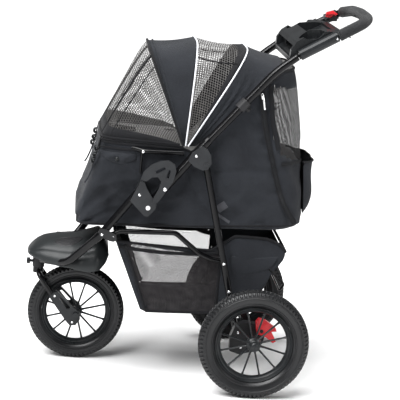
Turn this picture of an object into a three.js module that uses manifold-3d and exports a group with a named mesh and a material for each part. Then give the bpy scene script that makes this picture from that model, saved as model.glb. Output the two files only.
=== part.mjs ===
import * as THREE from 'three';
import Module from 'manifold-3d';
import { mergeVertices } from 'three/addons/utils/BufferGeometryUtils.js';

const wasm = await Module();
wasm.setup();

// Side layout in mm, x along the length (front is negative), z up, measured from the rear axle line.
const REAR_R = 152.5;
const FRONT_R = 138;
const FRONT_X = -485;
const TRACK = 560;
const TYRE_W = 45;
const FRONT_TYRE_W = 40;
const SIDE_Y = 190;
const TUBE_R = 10.5;
const SLEEVE_R = 12.5;
const LEG_R = 9;
const RAIL_R = 7;
const RAIL_Y = 173;
const GAP = 0.3;
const BORE_GAP = 0.5;
const CABIN_Y = 165;
const WALL = 4;
const BASKET_Y = 155;
const BASKET_WALL = 3;
const BOW_R = 4;

// Pivots of the folding side frame.
const ELBOW = [-312, 496];
const RAIL_FRONT = [-400, 406];
const RAIL_REAR = [-91, 350];
const LEG_TOP = [-163, 625];
const LEG_FOOT = [-31, 122];
const LATCH = [-270, 551];
const BRAKE = [24, 178];
const CASTER_X = -600;
const CANOPY = [-221, 652];
const PIN_R = 3.5;

const group = new THREE.Group();

function solid(geometry) {
  geometry.deleteAttribute('normal');
  geometry.deleteAttribute('uv');
  const merged = mergeVertices(geometry, 1e-4);
  const mesh = new wasm.Mesh({
    numProp: 3,
    vertProperties: Float32Array.from(merged.attributes.position.array),
    triVerts: Uint32Array.from(merged.index.array)
  });
  mesh.merge();
  return new wasm.Manifold(mesh);
}

function geometryOf(body) {
  const mesh = body.getMesh();
  const geometry = new THREE.BufferGeometry();
  geometry.setAttribute('position', new THREE.BufferAttribute(mesh.vertProperties, 3));
  geometry.setIndex(new THREE.BufferAttribute(mesh.triVerts, 1));
  return geometry;
}

function add(name, body, colour, roughness, metalness = 0) {
  const geometry = geometryOf(body);
  geometry.computeVertexNormals();
  const material = new THREE.MeshStandardMaterial({ color: colour, roughness, metalness });
  const mesh = new THREE.Mesh(geometry, material);
  mesh.name = name;
  group.add(mesh);
}

const STEEL = [0x16171a, 0.32, 0.75];
const GREY = [0x6c6f73, 0.45, 0.6];
const PLASTIC = [0x1b1c1e, 0.5, 0];
const FABRIC = [0x33363b, 0.9, 0];
const MESH_CLOTH = [0x56534f, 0.9, 0];
const RUBBER = [0x141414, 0.85, 0];
const FOAM = [0x3b3c3e, 0.95, 0];
const RED = [0xc21a26, 0.4, 0];
const CHROME = [0xc9cbce, 0.2, 1];

function shapeOf(points) {
  return new THREE.Shape(points.map(([a, b]) => new THREE.Vector2(a, b)));
}

// Outline in the x, z plane, pulled along y.
function prismY(points, y0, y1) {
  const low = Math.min(y0, y1);
  const high = Math.max(y0, y1);
  const geometry = new THREE.ExtrudeGeometry(shapeOf(points), { depth: high - low, bevelEnabled: false });
  geometry.rotateX(Math.PI / 2);
  geometry.translate(0, high, 0);
  return solid(geometry);
}

// Outline in the x, y plane, pulled along z.
function prismZ(points, z0, z1) {
  const geometry = new THREE.ExtrudeGeometry(shapeOf(points), { depth: z1 - z0, bevelEnabled: false });
  geometry.translate(0, 0, z0);
  return solid(geometry);
}

// Outline in the y, z plane, pulled along x.
function prismX(points, x0, x1) {
  const geometry = new THREE.ExtrudeGeometry(shapeOf(points), { depth: x1 - x0, bevelEnabled: false });
  const turn = new THREE.Matrix4();
  turn.makeBasis(new THREE.Vector3(0, 1, 0), new THREE.Vector3(0, 0, 1), new THREE.Vector3(1, 0, 0));
  geometry.applyMatrix4(turn);
  geometry.translate(x0, 0, 0);
  return solid(geometry);
}

function box(x0, x1, y0, y1, z0, z1) {
  const geometry = new THREE.BoxGeometry(x1 - x0, Math.abs(y1 - y0), z1 - z0);
  geometry.translate((x0 + x1) / 2, (y0 + y1) / 2, (z0 + z1) / 2);
  return solid(geometry);
}

// Straight round bar between two points.
function rod(from, to, radius, sides = 10) {
  const a = new THREE.Vector3(...from);
  const b = new THREE.Vector3(...to);
  const length = a.distanceTo(b);
  const geometry = new THREE.CylinderGeometry(radius, radius, length, sides, 1);
  const turn = new THREE.Quaternion();
  turn.setFromUnitVectors(new THREE.Vector3(0, 1, 0), b.clone().sub(a).normalize());
  geometry.applyQuaternion(turn);
  const middle = a.clone().add(b).multiplyScalar(0.5);
  geometry.translate(middle.x, middle.y, middle.z);
  return solid(geometry);
}

// Round tube along a line with rounded corners.
function bent(points, radius, corner, steps, sides = 10) {
  const stops = points.map((p) => new THREE.Vector3(...p));
  const path = new THREE.CurvePath();
  let start = stops[0];
  for (let i = 1; i < stops.length - 1; i += 1) {
    const into = stops[i].clone().sub(stops[i - 1]).normalize().multiplyScalar(corner);
    const away = stops[i + 1].clone().sub(stops[i]).normalize().multiplyScalar(corner);
    const before = stops[i].clone().sub(into);
    const after = stops[i].clone().add(away);
    path.add(new THREE.LineCurve3(start, before));
    path.add(new THREE.QuadraticBezierCurve3(before, stops[i], after));
    start = after;
  }
  path.add(new THREE.LineCurve3(start, stops[stops.length - 1]));
  const circle = new THREE.Shape();
  for (let k = 0; k < sides; k += 1) {
    const angle = (k / sides) * Math.PI * 2;
    const x = radius * Math.cos(angle);
    const y = radius * Math.sin(angle);
    if (k === 0) {
      circle.moveTo(x, y);
    } else {
      circle.lineTo(x, y);
    }
  }
  const geometry = new THREE.ExtrudeGeometry(circle, { steps, extrudePath: path, bevelEnabled: false });
  return solid(geometry);
}

// Turned piece about a line along y. The profile is [radius, y] pairs.
function turned(profile, x, z, sides) {
  const geometry = new THREE.LatheGeometry(profile.map(([r, y]) => new THREE.Vector2(r, y)), sides);
  geometry.translate(x, 0, z);
  const body = solid(geometry);
  return body.volume() < 0 ? solid(flip(geometry)) : body;
}

function flip(geometry) {
  const merged = mergeVertices(geometry, 1e-4);
  const index = merged.index.array;
  for (let i = 0; i < index.length; i += 3) {
    const keep = index[i];
    index[i] = index[i + 1];
    index[i + 1] = keep;
  }
  return merged;
}

function roundedRect(x0, x1, y0, y1, rFront, rRear, n = 5) {
  const points = [];
  const corners = [
    [x1 - rRear, y1 - rRear, rRear, 0],
    [x0 + rFront, y1 - rFront, rFront, 90],
    [x0 + rFront, y0 + rFront, rFront, 180],
    [x1 - rRear, y0 + rRear, rRear, 270]
  ];
  for (const [cx, cy, r, start] of corners) {
    for (let k = 0; k <= n; k += 1) {
      const angle = ((start + (90 * k) / n) * Math.PI) / 180;
      points.push([cx + r * Math.cos(angle), cy + r * Math.sin(angle)]);
    }
  }
  return points;
}

function sheared(body, slope, z0) {
  return body.transform([1, 0, 0, 0, 0, 1, 0, 0, slope, 0, 1, 0, -slope * z0, 0, 0, 1]);
}

const SIDES = [['left', -1], ['right', 1]];
const at = ([x, z], y) => [x, y, z];

// Line of a front tube, from the elbow down beside the footrest and in to the steering head.
function frontLine(s) {
  return [[-344, s * SIDE_Y, 531], [-436, s * SIDE_Y, 406.4], [-520, s * 112, 304], [-590, s * 29, 290]];
}

// Side frame tubes.
for (const [side, s] of SIDES) {
  const y = s * SIDE_Y;
  const bend = [-190, 655];
  const along = [(bend[0] - ELBOW[0]) / 200.4, (bend[1] - ELBOW[1]) / 200.4];
  const foot = [ELBOW[0] - 13 * along[0], ELBOW[1] - 13 * along[1]];
  const sleeve = bent([at(foot, y), at(bend, y), [-166, y, 684]], SLEEVE_R, 16, 5);
  const slim = bent([[-190, y, 655], [5, y, 890], [60, y, 934]], TUBE_R, 30, 9);
  const pinHole = rod(at(ELBOW, y - 20), at(ELBOW, y + 20), PIN_R + GAP);
  const latchPin = rod(at(LATCH, s * 195), at(LATCH, s * 216.6), PIN_R);
  const latchHead = rod(at(LATCH, s * 214.4), at(LATCH, s * 216.6), 6);
  const tube = sleeve.add(slim).subtract(pinHole).add(latchPin).add(latchHead);
  add(`upper_tube_${side}`, tube, ...STEEL);

  const clampA = [-84, y, 783];
  const clampB = [-66, y, 804.5];
  const clamp = rod(clampA, clampB, 15.5, 18).add(rod([-66, s * 186, 787], [-57, s * 186, 778], 7));
  add(`tube_clamp_${side}`, clamp.subtract(slim).subtract(rod([-95, y, 769.6], [-55, y, 817.8], 11)), ...GREY);

  const pin = rod(at(ELBOW, s * 172), at(ELBOW, s * 206.5), PIN_R)
    .add(rod(at(ELBOW, s * 206.4), at(ELBOW, s * 208.6), 6.5))
    .add(rod(at(ELBOW, s * 171), at(ELBOW, s * 173.4), 6.5));
  add(`elbow_pin_${side}`, pin, ...CHROME);

  // Elbow bracket: two cheeks joined along the front edge, open at the back for the upper tube.
  const cheeks = [
    [-361, 512], [-321, 473], [-310, 471], [-291, 494], [-289, 506],
    [-318, 548], [-326, 566], [-337, 569], [-341, 560]
  ];
  const slot = [[-345, 503], [-318, 477], [-318, 455], [-260, 455], [-260, 600], [-312, 600], [-330, 545], [-345, 530]];
  const bracket = prismY(cheeks, s * 173.7, s * 206.3).subtract(prismY(slot, s * 176.9, s * 203.1));
  const frontTube = bent(frontLine(s), 11, 30, 12);
  const seat = rod([-336.6, y, 541], [-440, y, 401], 11 + GAP);
  const elbowHole = rod(at(ELBOW, s * 170), at(ELBOW, s * 210), PIN_R + GAP);
  add(`elbow_bracket_${side}`, bracket.subtract(seat).subtract(elbowHole), ...GREY);
  add(`front_tube_${side}`, frontTube, ...STEEL);

  // Rail bracket with the stud that the side rail turns on.
  const lug = [[-442, 420], [-436, 430], [-420, 428], [-392, 414], [-390, 400], [-398, 395], [-408, 396], [-437, 408]];
  const plate = prismY(lug, s * 201.3, s * 204.3);
  const stud = rod(at(RAIL_FRONT, s * 164.2), at(RAIL_FRONT, s * 206.4), PIN_R)
    .add(rod(at(RAIL_FRONT, s * 163), at(RAIL_FRONT, s * 165.6), 6));
  add(`rail_bracket_${side}`, plate.add(stud), ...GREY);

  // Side rail under the cabin, from the front stud back to the leg.
  const rail = bent([
    at([-400, 408], s * RAIL_Y), [-384, s * RAIL_Y, 419], [-229, s * RAIL_Y, 424], [-160, s * RAIL_Y, 370],
    [-125, s * RAIL_Y, 356], at(RAIL_REAR, s * RAIL_Y)
  ], RAIL_R, 10, 15, 8);
  const eyes = rod(at(RAIL_FRONT, s * 166.2), at(RAIL_FRONT, s * 179.8), 9.5)
    .add(rod(at(RAIL_REAR, s * 166.2), at(RAIL_REAR, s * 179.8), 9.5));
  const hole = rod(at(RAIL_FRONT, s * 160), at(RAIL_FRONT, s * 184), PIN_R + GAP);
  add(`side_rail_${side}`, rail.add(eyes).subtract(hole), ...STEEL);

  // Rear leg, with a rivet head where the rail's rear eye meets it.
  const legTopEnd = [LEG_TOP[0] - 3.5, y, LEG_TOP[1] + 13];
  const leg = rod(legTopEnd, at(LEG_FOOT, y), LEG_R)
    .add(rod(at(RAIL_REAR, s * 195), at(RAIL_REAR, s * 201.6), 6))
    .subtract(rod(at(LEG_TOP, s * 175), at(LEG_TOP, s * 205), PIN_R + GAP));
  add(`rear_leg_${side}`, leg, ...STEEL);

  // Hinge plate on the upper tube, with the stud that the leg turns on.
  const wing = [
    [-214, 634], [-204, 656], [-178, 676], [-163, 668], [-152, 652], [-149, 628], [-158, 612], [-172, 609], [-196, 618]
  ];
  const hinge = prismY(wing, s * 202.8, s * 206.2)
    .add(rod(at(LEG_TOP, s * 179), at(LEG_TOP, s * 208.4), PIN_R))
    .add(rod(at(LEG_TOP, s * 206), at(LEG_TOP, s * 208.4), 6))
    .add(rod(at(LEG_TOP, s * 177), at(LEG_TOP, s * 180), 6.5));
  add(`hinge_plate_${side}`, hinge, ...GREY);

  // Latch lever: a hooked grey plate with two slots, turning on the upper tube.
  const hook = [
    [-338, 574], [-331, 596], [-313, 616], [-288, 629], [-266, 632], [-248, 622], [-243, 602], [-250, 574],
    [-272, 536], [-288, 512], [-298, 512], [-300, 524], [-287, 552], [-282, 572], [-292, 584], [-308, 582], [-322, 570]
  ];
  const slots = prismY([[-300, 600], [-276, 613], [-272, 607], [-296, 593]], s * 200, s * 220)
    .add(prismY([[-264, 606], [-258, 604], [-262, 582], [-268, 584]], s * 200, s * 220));
  const lever = prismY(hook, s * 209.9, s * 213.9)
    .subtract(slots)
    .subtract(rod(at(LATCH, s * 205), at(LATCH, s * 220), PIN_R + GAP));
  add(`latch_lever_${side}`, lever, ...GREY);
}

// Rear axle: box beam with a spindle out to the wheels.
const beam = box(-12, 12, -199.7, 199.7, REAR_R - 12, REAR_R + 12);
const spindle = rod([0, -304, REAR_R], [0, 304, REAR_R], 6, 10);
add('axle_beam', beam.add(spindle), ...STEEL);

for (const [side, s] of SIDES) {
  const outline = [
    [-58, 112], [-60, 150], [-48, 184], [-24, 196], [28, 192], [38, 176], [32, 140], [12, 116], [-30, 104]
  ];
  const bracket = prismY(outline, s * 200.1, s * 228)
    .add(rod(at(BRAKE, s * 227), at(BRAKE, s * 244), 5))
    .subtract(rod([0, s * 190, REAR_R], [0, s * 250, REAR_R], 6 + GAP, 10));
  add(`wheel_bracket_${side}`, bracket, ...PLASTIC);

  const pedal = [
    [8, 186], [6, 204], [14, 214], [34, 209], [62, 190], [66, 180], [52, 178], [66, 152], [58, 146],
    [40, 160], [26, 166], [12, 168]
  ];
  const press = prismY(pedal, s * 228.4, s * 242)
    .subtract(rod(at(BRAKE, s * 220), at(BRAKE, s * 250), 5 + GAP));
  add(`brake_pedal_${side}`, press, ...RED);
}

// Wheels: tyre with a ribbed tread, rim with twelve spokes and a hub, and a domed cap.
function tyre(name, x, y, radius, inner, width) {
  const w = width / 2;
  const profile = [
    [inner, -w * 0.55], [inner + 6, -w * 0.76], [radius - 15, -w], [radius - 6, -w * 0.9],
    [radius, -w * 0.45], [radius, w * 0.45], [radius - 6, w * 0.9], [radius - 15, w],
    [inner + 6, w * 0.76], [inner, w * 0.55], [inner, -w * 0.55]
  ];
  const body = turned(profile.map(([r, t]) => [r, t + y]), x, radius, 28);
  add(name, body, ...RUBBER);
}

function wheel(name, x, y, radius, outer, inner, half, hubHalf, hubR, bore) {
  const rim = [
    [inner, -half * 0.6], [outer, -half], [outer, half], [inner, half * 0.6], [inner, -half * 0.6]
  ];
  let body = turned(rim.map(([r, t]) => [r, t + y]), x, radius, 28);
  const hub = [
    [0, -hubHalf], [hubR - 5, -hubHalf], [hubR, -hubHalf * 0.4], [hubR, hubHalf * 0.4], [hubR - 5, hubHalf],
    [0, hubHalf]
  ];
  body = body.add(turned(hub.map(([r, t]) => [r, t + y]), x, radius, 14));
  const reach = (inner + 2 - (hubR - 3)) / 2;
  for (let k = 0; k < 12; k += 1) {
    const spoke = new THREE.BoxGeometry(reach * 2, 8, 5);
    spoke.translate(hubR - 3 + reach, 0, 0);
    spoke.rotateY(((k + 0.5) / 12) * Math.PI * 2);
    spoke.translate(x, y, radius);
    body = body.add(solid(spoke));
  }
  body = body.subtract(rod([x, y - hubHalf - 5, radius], [x, y + hubHalf + 5, radius], bore, 10));
  add(name, body, ...PLASTIC);
}

for (const [side, s] of SIDES) {
  const y = s * TRACK / 2;
  tyre(`rear_tyre_${side}`, 0, y, REAR_R, 106.3, TYRE_W);
  wheel(`rear_wheel_${side}`, 0, y, REAR_R, 106, 91, 15, 26, 21, 6 + BORE_GAP);
  const dome = [[0, s * 306.4], [17, s * 306.4], [17, s * 310], [12, s * 314.5], [0, s * 316.5]];
  add(`hub_cap_${side}`, turned(dome, 0, REAR_R, 16), ...PLASTIC);
}
tyre('front_tyre', FRONT_X, 0, FRONT_R, 98.3, FRONT_TYRE_W);
wheel('front_wheel', FRONT_X, 0, FRONT_R, 98, 84, 14, 33, 19, 5 + BORE_GAP);

// Front fork on the swivel axis, trailing back to the wheel.
const FORK_Y = 43.5;
let crown = box(CASTER_X - 13, CASTER_X + 15, -51, 51, 245, 258)
  .add(rod([CASTER_X, 0, 256], [CASTER_X, 0, 262.2], 16, 18));
for (const [, s] of SIDES) {
  crown = crown.add(rod([CASTER_X + 4, s * FORK_Y, 247], [-556, s * FORK_Y, 192], 7));
}
add('fork_crown', crown, ...STEEL);
for (const [side, s] of SIDES) {
  const arm = [
    [-563, 186], [-552, 200], [-540, 203], [-497, 162], [-474, 146], [-472, 126], [-484, 108], [-500, 106], [-512, 118]
  ];
  const slit = [[-536, 184], [-529, 186], [-502, 160], [-504, 154], [-512, 154]];
  const seat = rod([CASTER_X + 4, s * FORK_Y, 247], [-555.8, s * FORK_Y, 191.7], 7 + GAP);
  const sleeve = prismY(arm, s * 36.4, s * 50.6)
    .subtract(prismY(slit, s * 30, s * 60))
    .subtract(rod([FRONT_X, s * 30, FRONT_R], [FRONT_X, s * 60, FRONT_R], 5 + GAP))
    .subtract(seat);
  add(`fork_arm_${side}`, sleeve, ...PLASTIC);
}
const axle = rod([FRONT_X, -57, FRONT_R], [FRONT_X, 57, FRONT_R], 5)
  .add(rod([FRONT_X, 51, FRONT_R], [FRONT_X, 58, FRONT_R], 9, 6))
  .add(rod([FRONT_X, -58, FRONT_R], [FRONT_X, -51, FRONT_R], 9, 6));
add('front_axle', axle, ...CHROME);

// Swivel housing under the footrest and its lock knob.
const housing = rod([CASTER_X, 0, 262.6], [CASTER_X, 0, 311], 17, 16)
  .subtract(rod([CASTER_X - 40, 0, 277], [CASTER_X - 12, 0, 277], 4 + GAP));
add('steering_head', housing, ...PLASTIC);
const knob = rod([CASTER_X - 34, 0, 277], [CASTER_X - 24, 0, 277], 9, 12)
  .add(rod([CASTER_X - 26, 0, 277], [CASTER_X - 14, 0, 277], 4, 12));
add('swivel_lock_knob', knob, ...PLASTIC);

// Footrest: a moulded hood over the steering head and the ends of the front tubes.
function footrestBody(inset) {
  const d = inset;
  const profile = [
    [-631 + d, 306 - 60 * Math.sign(d)], [-625 + d, 322], [-608 + d, 341 - d], [-580, 355 - d], [-540, 358 - d],
    [-500, 362 - d], [-460, 374 - d], [-430 - d, 386 - d], [-420 - d, 370], [-410 - d, 350], [-405 - d, 332],
    [-411 - d, 308], [-428 - d, 288 - 60 * Math.sign(d)], [-460, 284 - 60 * Math.sign(d)],
    [-540, 289 - 60 * Math.sign(d)]
  ];
  const plan = [
    [-640 + d * 2, -34], [-624 + d, -60 + d], [-590, -82 + d], [-545, -97 + d], [-510, -103 + d], [-485, -120 + d],
    [-440, -122 + d], [-404 - d, -96 + d], [-404 - d, 96 - d], [-440, 122 - d], [-485, 120 - d], [-510, 103 - d],
    [-545, 97 - d], [-590, 82 - d], [-624 + d, 60 - d], [-640 + d * 2, 34]
  ];
  return prismY(profile, -150, 150).intersect(prismZ(plan, 200, 420));
}
let footrest = footrestBody(0).subtract(footrestBody(5));
for (const [, s] of SIDES) {
  const clear = bent(frontLine(s), 13, 30, 12);
  footrest = footrest.subtract(clear);
}
footrest = footrest.subtract(rod([CASTER_X - 60, 0, 277], [CASTER_X - 10, 0, 277], 13, 16));
for (let k = 0; k < 4; k += 1) {
  const x = -562 + k * 14;
  footrest = footrest.add(box(x, x + 5, -30, 30, 350, 361 + k * 1.2));
}
add('footrest', footrest, ...PLASTIC);

// Cabin: fabric tub with a slanting rear edge, rounded at the back, open along the canopy line.
const RIM_FRONT = 668;
function cabinBody(inset, lift) {
  const d = inset;
  const profile = [
    [-452 + d, RIM_FRONT + lift], [-461 + d, 610], [-488 + d, 525], [-506 + d, 454], [-502 + d, 434 + d],
    [-470, 426 + d], [80, 446 + d], [114 - d, 452 + d], [126 - d, 478], [112 - d, 632], [96 - d, 740],
    [72 - d, 862 + lift * 0.3], [36 - d, 884 + lift], [10, 868 + lift], [-196, 645 + lift], [-212, RIM_FRONT - 6 + lift]
  ];
  const y = CABIN_Y - d;
  const rear = sheared(prismZ(roundedRect(-900, 128 - d, -y, y, 5, 80), 380, 1000), -0.15, 460);
  const front = sheared(prismZ(roundedRect(-508 + d, 900, -y, y, 30, 5), 380, 1000), 0.24, 440);
  return prismY(profile, -200, 200).intersect(rear).intersect(front);
}
add('cabin_shell', cabinBody(0, 0).subtract(cabinBody(WALL, 40)), ...FABRIC);

const deck = [[-474, 434.5], [-474, 438.5], [80, 458.4], [80, 454.4]];
add('floor_board', prismY(deck, -148, 148), ...PLASTIC);
const pad = [[-470, 439.2], [-470, 457], [78, 476], [78, 458.8]];
add('floor_pad', prismY(pad, -144, 144), ...FABRIC);

const pocket = [[133, 490], [160, 500], [166, 560], [160, 600], [148, 632], [120.5, 632]];
const pocketHollow = [[136, 496], [156, 504], [162, 560], [156, 598], [140, 660], [118, 660], [123, 600]];
const flare = prismY(pocket, -112, 112).subtract(cabinBody(-GAP, 0));
add('rear_pocket', flare.subtract(prismY(pocketHollow, -108, 108)), ...FABRIC);

// Hoop around the cabin mouth, with a short link down to each elbow.
const hoop = bent([
  [-224, -176, 648], [-352, -176, 646], [-440, -176, 662], [-464, -150, 666], [-464, 150, 666], [-440, 176, 662],
  [-352, 176, 646], [-224, 176, 648]
], 6.5, 12, 26, 8);
let mouth = hoop;
for (const [, s] of SIDES) {
  mouth = mouth.add(rod([-338, s * 176, 648], [-338, s * 176, 586], 3.5, 8));
}
add('cabin_hoop', mouth, ...STEEL);

// Canopy: three bows fanning from one pivot line, with stretched panels between them.
const BOWS = [
  ['canopy_bow_front', [-336, 921], 137.5],
  ['canopy_bow_middle', [-205, 940], 146.5],
  ['canopy_bow_rear', [-64, 929], 155.5]
];
function archPoints(apex, half, lift) {
  const points = [];
  const n = 12;
  for (let k = 0; k <= n; k += 1) {
    const angle = Math.PI * (k / n);
    const y = -half * Math.sign(Math.cos(angle)) * Math.abs(Math.cos(angle)) ** 0.55;
    const rise = Math.sin(angle) ** 0.55 * lift;
    const t = 0.06 + 0.94 * rise;
    points.push([CANOPY[0] + (apex[0] - CANOPY[0]) * t, y, CANOPY[1] + (apex[1] - CANOPY[1]) * t]);
  }
  return points;
}
for (const [name, apex, half] of BOWS) {
  const curve = archPoints(apex, half, 0.965);
  add(name, bent(curve, BOW_R, 3, 30, 6), ...STEEL);
}

// Cross-section of the roof: upright sides with rounded shoulders.
function roof(inset, x0, x1) {
  const y = CABIN_Y - inset;
  const top = 944 - inset;
  const points = [[-y, 560], [y, 560], [y, 850]];
  for (let k = 1; k <= 6; k += 1) {
    const angle = (k / 6) * (Math.PI / 2);
    points.push([y - 92 * (1 - Math.cos(angle)), 850 + (top - 850) * Math.sin(angle)]);
  }
  for (let k = 6; k >= 0; k -= 1) {
    const angle = (k / 6) * (Math.PI / 2);
    points.push([-y + 92 * (1 - Math.cos(angle)), 850 + (top - 850) * Math.sin(angle)]);
  }
  return prismX(points, x0, x1);
}
function outward(apex, shift) {
  const dx = apex[0] - CANOPY[0];
  const dz = apex[1] - CANOPY[1];
  const length = Math.hypot(dx, dz);
  const nx = (dz / length) * shift;
  const nz = (-dx / length) * shift;
  const base = [CANOPY[0] + dx * 0.14 + nx, CANOPY[1] + dz * 0.14 + nz];
  return [base, [apex[0] + nx, apex[1] + nz], [apex[0] + dx * 0.4 + nx, apex[1] + dz * 0.4 + nz]];
}
function panel(name, outline, cap, look) {
  const outer = prismY(outline, -200, 200).intersect(prismY(cap(0), -200, 200)).intersect(roof(0, -480, 120));
  const inner = prismY(cap(WALL), -200, 200).intersect(roof(WALL, -480, 120));
  add(name, outer.subtract(inner), ...look);
}
const topLine = (d) => [
  [-600, 400 - d], [-600, 700 - d], [-452, 672 - d], [-345, 918 - d], [-336, 926 - d], [-205, 944 - d], [-64, 933 - d],
  [17, 912 - d], [120, 880 - d], [120, 400 - d]
];
const EDGE = BOW_R + 0.8;
const [f0, , f2] = outward(BOWS[0][1], EDGE);
const [m0, , m2] = outward(BOWS[1][1], -EDGE);
const [n0, , n2] = outward(BOWS[1][1], EDGE);
const [r0, , r2] = outward(BOWS[2][1], -EDGE);
const [s0, , s2] = outward(BOWS[2][1], EDGE);
panel('canopy_front', [f0, m0, m2, f2], topLine, FABRIC);
panel('canopy_mesh', [n0, r0, r2, n2], topLine, MESH_CLOTH);

const ledge = [
  s0, [-192, 655], [8, 876], [34, 890], [46, 889], [44, 905], [17, 917], s2
];
panel('canopy_rear', ledge, (d) => topLine(d).concat([[-130, 400]]), FABRIC);

const [g0, g1] = outward(BOWS[0][1], -EDGE);
const hoodOuter = [[-448, 671], [-347, 914], g1, g0, [-250, 666], [-330, 669.5]];
const hoodInner = [[-470, 560], [-443, 677], [-336, 908], [-200, 960], [-100, 560]];
const hood = prismY(hoodOuter, -200, 200).intersect(roof(0, -480, 120));
const hoodHollow = prismY(hoodInner, -200, 200).intersect(roof(WALL, -480, 120));
add('canopy_hood', hood.subtract(hoodHollow), ...MESH_CLOTH);

// Console tray between the upper tubes, clipped over them with two sleeves.
const tray = [
  [41, 918], [43, 950], [56, 972], [97, 1001], [140, 1006], [176, 1006], [196, 1000], [206, 992], [180, 997],
  [164, 990], [60, 928], [50, 916]
];
let console3 = prismY(tray, -173, 173);
for (const [, s] of SIDES) {
  const sleeve = rod([66, s * SIDE_Y, 938], [163, s * SIDE_Y, 996.5], 14.5, 12);
  const web = [[66, 930], [60, 950], [156, 1008], [168, 996]];
  console3 = console3.add(sleeve).add(prismY(web, s * 165, s * 186));
}
for (const [, s] of SIDES) {
  const line = bent([[-190, s * SIDE_Y, 655], [5, s * SIDE_Y, 890], [60, s * SIDE_Y, 934], [200, s * SIDE_Y, 1017.3]], 11.4, 30, 14, 10);
  console3 = console3.subtract(line).subtract(rod([50, s * SIDE_Y, 928.8], [180, s * SIDE_Y, 1006.5], 11.4, 10));
}
const well = prismY([[92, 962], [86, 1060], [168, 1060], [160, 1000]], -98, 98);
const cups = rod([100, 136, 976], [86, 136, 1060], 33, 16).add(rod([100, -136, 976], [86, -136, 1060], 33, 16));
const front = prismY([[20, 930], [20, 960], [56, 960], [64, 962], [62, 938], [50, 930]], -150, 150)
  .add(prismY([[20, 930], [20, 960], [56, 960], [80, 976], [80, 952], [62, 938], [50, 930]], -94, 94));
const dips = rod([93, -200, 1022], [93, -150, 1022], 42, 24).add(rod([93, 150, 1022], [93, 200, 1022], 42, 24));
const ears = box(168, 220, 164, 180, 970, 1020).add(box(168, 220, -180, -164, 970, 1020));
const tray3 = console3.subtract(ears).subtract(well).subtract(cups).subtract(front).subtract(dips);
add('console_tray', tray3, ...PLASTIC);

// Handle: a bent bar from sleeve to sleeve, with a foam grip and a trigger on the right arm.
const arm = (s, x, z) => [x, s * SIDE_Y, z];
const GRIP_LINE = [
  arm(-1, 62, 936), arm(-1, 183, 1008.3), [230, -177, 1034], [251, -126, 1044], [254, 0, 1047], [251, 126, 1044],
  [230, 177, 1034], arm(1, 183, 1008.3), arm(1, 62, 936)
];
add('handle_bar', bent(GRIP_LINE, TUBE_R, 20, 30, 10), ...STEEL);
const passage = bent(GRIP_LINE, TUBE_R + GAP, 20, 30, 10);
function beyond([x, z], y0, y1) {
  const corners = [[-31, 52], [31, -52], [-160, -140], [-222, -36]];
  return prismY(corners.map(([a, b]) => [x + a, z + b]), y0, y1);
}
const grip = bent(GRIP_LINE, 15.5, 20, 30, 10)
  .subtract(passage)
  .subtract(beyond([170, 1000.5], -240, -100))
  .subtract(beyond([229, 1033], 100, 240));
add('foam_grip', grip, ...FOAM);

const mount = rod([184, 189.3, 1009], [216, 181, 1026.8], 14.5, 12)
  .add(prismY([[190, 1006], [192, 1014], [206, 1024], [215, 1020], [214, 1008]], 157, 172))
  .subtract(passage)
  .subtract(prismY([[172, 1010], [172, 1040], [212, 1040], [212, 1016], [198, 1010]], 160.5, 165.5));
add('trigger_mount', mount, ...PLASTIC);
const trigger = prismY([[180, 1018], [184, 1030], [202, 1035], [211, 1027], [210, 1019], [200, 1015]], 160.8, 165.2)
  .add(prismY([[180, 1025.5], [182, 1032], [200, 1038], [212, 1030], [212, 1027], [202, 1030]], 148, 165));
add('handle_trigger', trigger, ...RED);

// Basket: a hanging tub of cloth and netting, open at the top.
const tub = [
  [-392, 388], [-362, 320], [-306, 190], [-96, 196], [24, 262], [52, 322], [80, 362], [84, 386], [64, 408],
  [30, 420], [-62, 422], [-92, 400], [-124, 376], [-372, 384]
];
const tubHollow = [
  [-387, 389], [-358, 322], [-303, 193], [-97, 199.2], [21.5, 264], [49, 324], [76.5, 363], [80.5, 386], [62, 405],
  [29, 600], [-372, 600], [-386, 400]
];
const cloth = prismY(tub, -BASKET_Y, BASKET_Y);
add('basket', cloth.subtract(prismY(tubHollow, -BASKET_Y + BASKET_WALL, BASKET_Y - BASKET_WALL)), ...MESH_CLOTH);

// Put the origin at the middle of the base.
const bounds = new THREE.Box3().setFromObject(group);
const middle = bounds.getCenter(new THREE.Vector3());
for (const mesh of group.children) {
  mesh.geometry.translate(-middle.x, -middle.y, -bounds.min.z);
}

export default group;
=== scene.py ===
import math

import bmesh
import bpy
from mathutils import Matrix, Vector, noise


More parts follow.
